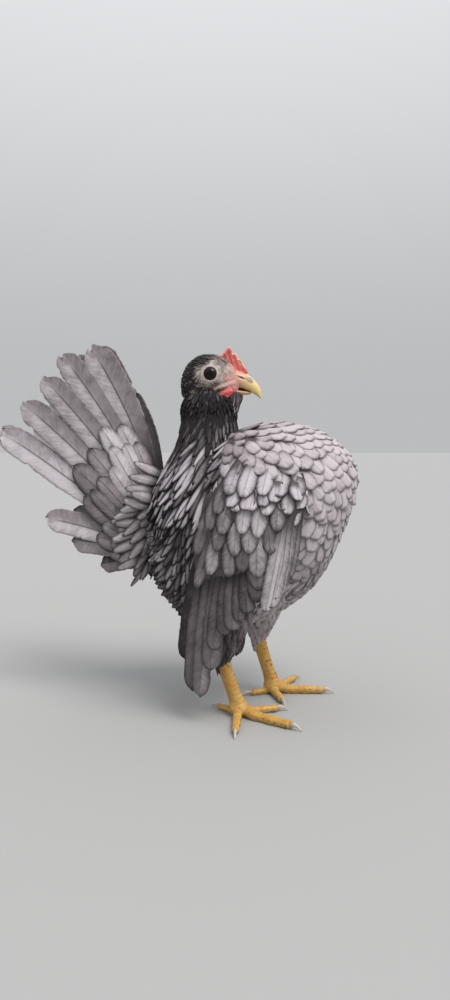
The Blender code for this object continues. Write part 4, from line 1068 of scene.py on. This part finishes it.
# Small feathers.
# Some 3,000 short feathers grow from the skin in rows. Each group of them is clothed by one tree, which
# stands a vane on each root point with that point's turn and size, and lays its patch out for the bake.
def scattered_roots(verts, faces, spacing, seed, keep):
    """Root points on a shell, no closer than spacing, a number or a function, and the shell's normals."""
    gap_at = spacing if callable(spacing) else lambda p: np.full(len(p), spacing)
    tris = np.array([(f[0], f[k], f[k + 1]) for f in faces for k in range(1, len(f) - 1)])
    a, b, c = (verts[tris[:, k]] for k in range(3))
    cross = np.cross(b - a, c - a)
    area = np.linalg.norm(cross, axis=1) / 2
    normals = np.zeros_like(verts)
    for k in range(3):
        np.add.at(normals, tris[:, k], cross)
    normals = unit(normals)
    rng = np.random.default_rng(seed)
    tries = int(area.sum() / gap_at(verts).min() ** 2 * 14)
    pick = rng.choice(len(tris), tries, p=area / area.sum())
    r1, r2 = np.sqrt(rng.random(tries)), rng.random(tries)
    weights = np.stack([1 - r1, r1 * (1 - r2), r1 * r2], -1)[..., None]
    points = (weights * verts[tris[pick]]).sum(1)
    ways = unit((weights * normals[tris[pick]]).sum(1))
    allowed = keep(points)
    points, ways = points[allowed], ways[allowed]
    gaps = gap_at(points)
    homes = np.floor(points / gaps.max()).astype(int)
    near = [(x, y, z) for x in (-1, 0, 1) for y in (-1, 0, 1) for z in (-1, 0, 1)]
    grid, kept = {}, []
    for i, (x, y, z) in enumerate(homes):
        others = [j for ox, oy, oz in near for j in grid.get((x + ox, y + oy, z + oz), ())]
        if others:
            gap = points[others] - points[i]
            if ((gap * gap).sum(1) < (0.5 * (gaps[i] + gaps[others])) ** 2).any():
                continue
        grid.setdefault((x, y, z), []).append(i)
        kept.append(i)
    return points[kept], ways[kept]


def height_over(shell):
    """A function that gives how far points stand out from a closed shell."""
    tree = BVHTree.FromPolygons([tuple(v) for v in shell[0]], shell[1])

    def heights(points):
        nearest = [tree.find_nearest(Vector(p)) for p in points]
        return np.array([(Vector(p) - spot).dot(way) for p, (spot, way, _, _) in zip(points, nearest)])

    return heights


def inside(shell, depth=0.0):
    """A test that is true for points deeper than depth inside a closed shell."""
    heights = height_over(shell)
    return lambda points: heights(points) < -depth


VANE_BEND = 0.10


def small_vane(name, across, along, outline, camber, thick):
    """One vane of length 1 and half width 0.5 along +Y, for the tree to set out."""
    one = Coat(across, along)
    t, bend = one.along, VANE_BEND
    line = np.stack([0 * t, t, -bend * t**2], -1)
    outs = unit(np.stack([0 * t, 2 * bend * t, 1 + 0 * t], -1))
    one.add(line, outs, 0.5, 0, 0, thick, camber * 2, 0, outline)
    obj = one.object(name, None)
    for v in obj.data.vertices:
        v.co = v.co * 1000 + Vector(FLOOR_CENTRE)
    for key in ("shade", "draw"):
        obj.data.attributes.remove(obj.data.attributes[key])
    obj.data.uv_layers.remove(obj.data.uv_layers[0])
    bpy.context.scene.collection.objects.unlink(obj)
    return obj


def coat_tree(name, vane, look):
    """Geometry Nodes: a vane on each root point, turned and sized by its marks, then made real."""
    tree = bpy.data.node_groups.new(name, "GeometryNodeTree")
    tree.interface.new_socket("Roots", in_out="INPUT", socket_type="NodeSocketGeometry")
    sizes = {}
    for key in ("Width", "Length", "Patch size"):
        sizes[key] = tree.interface.new_socket(key, in_out="INPUT", socket_type="NodeSocketFloat").identifier
    tree.interface.new_socket("Coat", in_out="OUTPUT", socket_type="NodeSocketGeometry")
    start = tree.nodes.new("NodeGroupInput")
    t = Line(tree)
    given = {key: Line(tree, start.outputs[key]) for key in ("Roots", "Width", "Length", "Patch size")}

    def named(key, kind="FLOAT_VECTOR"):
        return t.node("GeometryNodeInputNamedAttribute", {"data_type": kind}, Name=key)

    def vector_maths(operation, first, **values):
        return t.node("ShaderNodeVectorMath", {"operation": operation}, n0=first, **values)

    size = t.node("ShaderNodeCombineXYZ", n0=given["Width"], n1=given["Length"], n2=given["Length"])
    size = vector_maths("MULTIPLY", size, n1=named("spread"))
    shape = t.node("GeometryNodeObjectInfo", None, 4, n0=vane)
    turn = t.node("FunctionNodeEulerToRotation", n0=named("turn"))
    points = t.node("GeometryNodeMeshToPoints", Mesh=given["Roots"])
    stood = t.node(
        "GeometryNodeInstanceOnPoints", Points=points, Instance=shape, Rotation=turn, Scale=size
    )
    real = t.node("GeometryNodeRealizeInstances", n0=stood)
    across, along = named("across", "FLOAT") * 0.5 + 0.5, named("along", "FLOAT")
    patch = t.node("ShaderNodeCombineXYZ", n0=across, n1=along, n2=0.0)
    patch = vector_maths("SCALE", patch, Scale=given["Patch size"])
    patch = vector_maths("ADD", patch, n1=named("home"))
    stored = t.node(
        "GeometryNodeStoreNamedAttribute", {"data_type": "FLOAT2", "domain": "CORNER"},
        Geometry=real, Name="OFBake", Value=patch,
    )
    dressed = t.node("GeometryNodeSetMaterial", Geometry=stored, Material=look)
    tree.links.new(dressed.socket, tree.nodes.new("NodeGroupOutput").inputs[0])
    return tree, sizes


PATCH = 0.0035


def unrolled(points, axis):
    """Each point's place, from 0 to 1, on the shell unrolled about its long axis."""
    a, b = [k for k in range(3) if k != axis]
    middle = (points.max(0) + points.min(0)) / 2
    turn = np.arctan2(points[:, b] - middle[b], points[:, a] - middle[a]) / (2 * math.pi) + 0.5
    along = (points[:, axis] - points[:, axis].min()) / np.ptp(points[:, axis])
    return np.stack([turn, along, 0 * turn], -1) * (0.998 - PATCH) + 0.001


def clothe(
    name, shell_roots, flow, length, half, shade, lift, vane, look, depth, seed,
    axis=2, swing=5.0, over=None, rest=1.5,
):
    """Sets vanes on root points. flow gives the lie, and the other values are single or one a point.

    over gives the height over the shell, and each vane then bends so that its tip lies at rest above it.
    """
    roots, ways = shell_roots
    rng = np.random.default_rng(seed)
    n = len(roots)
    lie = unit(flow - (flow * ways).sum(1, keepdims=True) * ways)
    a = rng.normal(0, math.radians(swing), n)[:, None]
    lie = lie * np.cos(a) + np.cross(lie, ways) * np.sin(a)
    a = np.radians(lift + rng.normal(0, 1.2, n))[:, None]
    along = lie * np.cos(a) + ways * np.sin(a)
    side = unit(np.cross(along, ways))
    up = np.cross(side, along)
    turn = np.array([tuple(Matrix(np.stack(axes, -1).tolist()).to_euler()) for axes in zip(side, along, up)])
    length, half, shade = (np.broadcast_to(np.asarray(v, float), n) for v in (length, half, shade))
    grown = length / length.mean() * rng.uniform(0.92, 1.08, n)
    settled = grown
    if over:
        drop = over(roots + along * length[:, None]) - rest
        settled = np.clip(drop / (VANE_BEND * length.mean()), 0.5, 1.8)
    spread = np.stack([half / half.mean() * rng.uniform(0.93, 1.07, n), grown, settled], -1)
    mesh = bpy.data.meshes.new(name)
    mesh.from_pydata(in_row(roots - ways * depth).tolist(), [], [])
    for key, values in dict(turn=turn, spread=spread, home=unrolled(roots, axis)).items():
        attribute = mesh.attributes.new(key, "FLOAT_VECTOR", "POINT")
        attribute.data.foreach_set("vector", values.astype(np.float32).ravel())
    add_marks(mesh, shade=shade, draw=rng.random(n))
    obj = linked(name, mesh)
    tree, sizes = coat_tree(name, vane, look)
    coat = obj.modifiers.new("coat", "NODES")
    coat.node_group = tree
    coat[sizes["Width"]] = half.mean() * 0.002
    coat[sizes["Length"]] = length.mean() * 0.001
    coat[sizes["Patch size"]] = PATCH
    graph = bpy.context.evaluated_depsgraph_get()
    made = bpy.data.meshes.new_from_object(
        obj.evaluated_get(graph), preserve_all_data_layers=True, depsgraph=graph
    )
    obj.modifiers.remove(coat)
    obj.data = made
    made.shade_smooth()
    for key in ("turn", "spread", "home"):
        if key in made.attributes:
            made.attributes.remove(made.attributes[key])
    dress(obj, "plumage")


def lying(x, y, z):
    """The way that feathers lie. Each part is single or one a root."""
    return np.stack(np.broadcast_arrays(x, y, z), -1)


round_along = np.array((0, 0.22, 0.42, 0.60, 0.76, 0.89, 1.0))
round_shape = vane_outline(round_along, 0.45, 0.6, 2.1, 0.12)
round_vane = small_vane("round_vane", (-1, -0.52, 0, 0.52, 1), round_along, round_shape, 0.05, 0.024)
lance_along = np.array((0, 0.2, 0.4, 0.6, 0.78, 0.92, 1.0))
lance_shape = vane_outline(lance_along, 0.35, 0.6, 1.5, 0.02)
lance_vane = small_vane("lance_vane", (-1, -0.5, 0, 0.5, 1), lance_along, lance_shape, 0.045, 0.025)
in_trunk, in_cape, in_stump, under_cape = inside(trunk), inside(cape), inside(stump), inside(cape, 5.5)
over_trunk, over_cape = height_over(trunk), height_over(cape)


# Breast and belly feathers.
# Broad, rounded, pale feathers with dark lacing shingle over the breast from the neck's foot down, and
# lie longer and looser over the wing's top. Fine, loose down closes the belly between the thighs.
BREAST_COLOURS = ((0.54, 0.485, 0.51), (0.27, 0.23, 0.245), (0.055, 0.045, 0.048))
breast_look = feather_look("breast", BREAST_COLOURS, (0.62, 1.06), 2.8, 5.0, 0.58, 0.06, 0.0, 0.25)
fluff_look = feather_look("fluff", BREAST_COLOURS, (0.95, 1.3), 6.0, 4.0, 0.3, 0.05)
NECK_FOOT = np.array((0.0, 0.0, 146.0))
HANG = np.array((-0.42, 0.0, -0.9))
BELLY_TOP = 68.0
roots = scattered_roots(
    *trunk, 4.2, 3, lambda p: ~under_cape(p) & ~in_stump(p) & (p[:, 0] > 4) & (p[:, 2] > BELLY_TOP)
)
p = roots[0]
high = step(p[:, 2], 96, 124)[:, None]
# The lower breast is painted darker, as shade under the breast's curve.
low = step(108 - p[:, 2], 0, 45)
rear = step(30 - p[:, 0], 0, 30)
over_wing = step(-np.abs(p[:, 0] - 22), -24, -16) * step(np.abs(p[:, 1]), 20, 26) * step(p[:, 2], 110, 118)
clothe(
    "breast_feathers", roots, unit(p - NECK_FOOT) * high + HANG * (1 - high),
    length=12.5 + 3.5 * over_wing, half=4.4 - 0.8 * rear, shade=0.50 * low + 0.30 * rear,
    lift=4.0 + 7.0 * over_wing, vane=round_vane, look=breast_look, depth=0.3, seed=1, axis=0,
    over=over_trunk, rest=1.2 + 4.0 * over_wing,
)
roots = scattered_roots(*trunk, 2.7, 5, lambda p: (p[:, 0] > 4) & (p[:, 2] < BELLY_TOP + 3))
p = roots[0]
clothe(
    "belly_fluff", roots, lying(-0.3, 0.1 * p[:, 1] / 30, -1), length=9.5, half=1.6,
    shade=0.06 + 0.25 * step(26 - p[:, 0], 0, 26), lift=9.0, vane=lance_vane, look=fluff_look, depth=0.3,
    seed=6, axis=0, swing=16.0, over=over_trunk, rest=1.0,
)


# Neck, flank and rump feathers.
# Narrow, pointed feathers, nearly black with a grey streak, hang from the neck as a cape and cover the
# flanks behind the wings. Softer and paler ones fan out over the rump to the tail's foot.
HACKLE_COLOURS = ((0.47, 0.435, 0.46), (0.115, 0.10, 0.108), (0.012, 0.009, 0.010))
hackle_look = feather_look("hackle", HACKLE_COLOURS, (0.10, 0.84), 5.6, 3.0, 0.97, 0.15)
rump_colours = (*QUILL_COLOURS[:2], HACKLE_COLOURS[2])
rump_look = feather_look("rump", rump_colours, (0.36, 1.10), 5.0, 3.5, 0.90, 0.15)
roots = scattered_roots(*trunk, 3.3, 13, lambda p: ~in_cape(p) & ~in_stump(p) & (p[:, 0] < 8))
p = roots[0]
rear = step(-p[:, 0], 8, 26)
mottle = np.random.default_rng(22).normal(0, 0.20, len(p))
clothe(
    "flank_feathers", roots, lying(-0.35 - 0.9 * rear, 0.1 * np.sign(p[:, 1]), 0.45 * rear - 1),
    length=14.0, half=2.5, lift=7.0, shade=0.25 + 0.40 * step(80 - p[:, 2], 0, 30) + mottle,
    vane=lance_vane, look=hackle_look, depth=0.4, seed=14, axis=0, swing=9.0, over=over_trunk, rest=1.7,
)
roots = scattered_roots(
    *cape, lambda p: 1.6 + 1.5 * step(156 - p[:, 2], 0, 30), 4,
    lambda p: ~in_trunk(p) & (p[:, 2] > 106) & (p[:, 2] < 162),
)
p = roots[0]
down_neck = step(158 - p[:, 2], 0, 36)
backward = -0.12 - 0.38 * down_neck + 0.25 * step(p[:, 0], -5, 12)
throat = step(p[:, 0], 0, 4) * step(p[:, 2], 137, 142) * fade(p[:, 2], 153, 156)
x, _, z = to_head(p).T
mottle = np.random.default_rng(21).normal(0, 0.28, len(p))
clothe(
    "hackle_feathers", roots, lying(backward, 0.3 * np.sign(p[:, 1]) * down_neck, -1),
    length=6.5 + 13.0 * down_neck, half=1.15 + 1.2 * down_neck,
    shade=1.25 - 1.15 * down_neck - 0.3 * throat - 0.8 * dome(x, z, EAR, EAR_SIZE) + mottle,
    lift=11.0 - 4.0 * down_neck, vane=lance_vane, look=hackle_look, depth=0.15, seed=2, swing=7.0,
    over=over_cape, rest=1.2,
)
roots = scattered_roots(*stump, 3.6, 6, lambda p: ~in_cape(p) & (np.abs(p[:, 1]) > 3))
p = roots[0]
clothe(
    "rump_feathers", roots, lying(-0.8, 0.25 * np.sign(p[:, 1]), (p[:, 2] - 104) / 45), length=16.0, half=3.3,
    shade=0.26, lift=10.0, vane=lance_vane, look=rump_look, depth=0.4, seed=3, swing=9.0,
)


# Thigh and shoulder feathers.
# Short, soft feathers hug the thighs down to the hock, the right one painted darker as shade and the left one
# painted paler as light from the floor. Rounded coverts grow from the wing's top and lie over its first rows.
HOCK_BARE = 0.4
SHOULDER_FOOT, SHOULDER_IN = 113.0, 24.0
# The right thigh's tones are painted darker, as shade, and the left's paler, as light thrown up from the
# floor.
THIGH_PAINTED_LIGHT = {"right": (0.95, 0.40), "left": (0.26, 0.16)}  # at the rear, and how much paler in front
for word, shell in thighs.items():
    hock = THIGHS[word][-1][2]
    roots = scattered_roots(*shell, 2.3, 7, lambda p: ~in_trunk(p) & (p[:, 2] > hock + HOCK_BARE))
    dark, fall = THIGH_PAINTED_LIGHT[word]
    clothe(
        "thigh_feathers_" + word, roots, lying(-0.1, 0, -1), length=7.5, half=1.7,
        shade=dark - fall * step(roots[0][:, 0], 7, 23), lift=12.0, vane=lance_vane, look=fluff_look,
        depth=0.2, seed=8, swing=7.0, over=height_over(shell), rest=0.9,
    )
for word, side in SIDES.items():
    points, ways = scattered_roots(
        *wing_plates[word], 4.0, 9, lambda p: (p[:, 2] > SHOULDER_FOOT) & (np.abs(p[:, 1]) > SHOULDER_IN)
    )
    facing = (ways[:, 1] * side > -0.3) & (ways[:, 2] < 0.6)
    rear = step(22 - points[facing][:, 0], 0, 25)
    clothe(
        "shoulder_feathers_" + word, (points[facing], ways[facing]), lying(-0.12 - 0.25 * rear, 0, -1),
        length=11.0, half=3.9, shade=0.08 + 0.35 * rear, lift=7.0, vane=round_vane, look=wing_look,
        depth=-1.2, seed=10,
    )


# Throat and head feathers.
# A small beard of narrow feathers, some pale, hangs below the bill. Tiny dark feathers with a few pale
# tips cover the skull and thin out round the bare face.
TUFT = 44
tuft = Coat(COVERT_ACROSS, COVERT_ALONG)
for k in range(TUFT):
    share = k / (TUFT - 1)
    x, y = 1.0 + 8.5 * share**0.8, draw.uniform(-4.8, 4.8) * (1.15 - 0.5 * share)
    root = np.array((x - 1.0, y * 0.8, 161.5 - 0.10 * x))
    tip = np.array((x + draw.uniform(-1.4, 0.4) - 0.28 * x, y * 0.9, 151.0 + draw.uniform(-2.6, 4.2)))
    out = unit(np.array((0.75, y / 3.0, 0.1)))
    line = root + (tip - root) * tuft.along[:, None] + out * (1.1 * np.sin(math.pi * tuft.along))[:, None]
    shade = draw.choice((0.05, 0.3, 0.7, 1.1))
    tuft.add(line, np.tile(out, (len(line), 1)), 0.85, shade, draw.random(), 0.2, 0.2)
dress(tuft.object("throat_feathers", fluff_look), "plumage")

TINY_PALE = (0.30, 0.25, 0.22)
TINY_DARK = (0.013, 0.010, 0.010)
TINY_FLECK = (0.40, 0.385, 0.375)
tiny_along = np.array((0, 0.4, 0.75, 1.0))
tiny_shape = vane_outline(tiny_along, 0.4, 0.7, 1.8, 0.05)
tiny_vane = small_vane("tiny_vane", (-1, 0, 1), tiny_along, tiny_shape, 0.08, 0.05)
tiny_look, h = material("head_feather", 0.6, Specular_IOR_Level=0.35)
fleck = mark(h, "draw").rise(0.83, 0.93) * mark(h, "along").rise(0.45, 0.8) * 0.42
tiny_colour = (mark(h, "shade") + (mark(h, "draw") - 0.5) * 0.3).rise(0.2, 1.0).tint(TINY_PALE, TINY_DARK)
paint(h, fleck.tint(tiny_colour, TINY_FLECK), grain(h, 3000.0, 2.0), 0.0001)


def feathered(points):
    local = to_head(points)
    return (face_marks(local)["bare"] < 0.42) & (local[:, 0] < 10.5) & (local[:, 2] > -15)


roots = scattered_roots(*skull, 1.0, 12, feathered)
local = to_head(roots[0])
x, y, z = local.T
bare = face_marks(local)["bare"]
back = step(-x, 0, 12)
throat = step(x, 2, 8) * step(-z, 8, 11)
paler = 0.75 * np.maximum(bare * 1.6, 0.5 * throat) + 0.55 * step(x + z, 6, 14)
paler += 0.5 * dome(x, z, EAR, EAR_SIZE)
clothe(
    "head_feathers", roots,
    lying(-1 + 0.4 * back, 0.1 * np.sign(y), -0.35 - 0.9 * back - 0.6 * step(-z, 2, 9)) @ head_turn.T,
    length=2.6, half=0.72, shade=1.0 - paler, lift=16.0 + 9.0 * step(z, 4, 9), vane=tiny_vane, look=tiny_look,
    depth=0.15, seed=13, axis=0, swing=12.0,
)
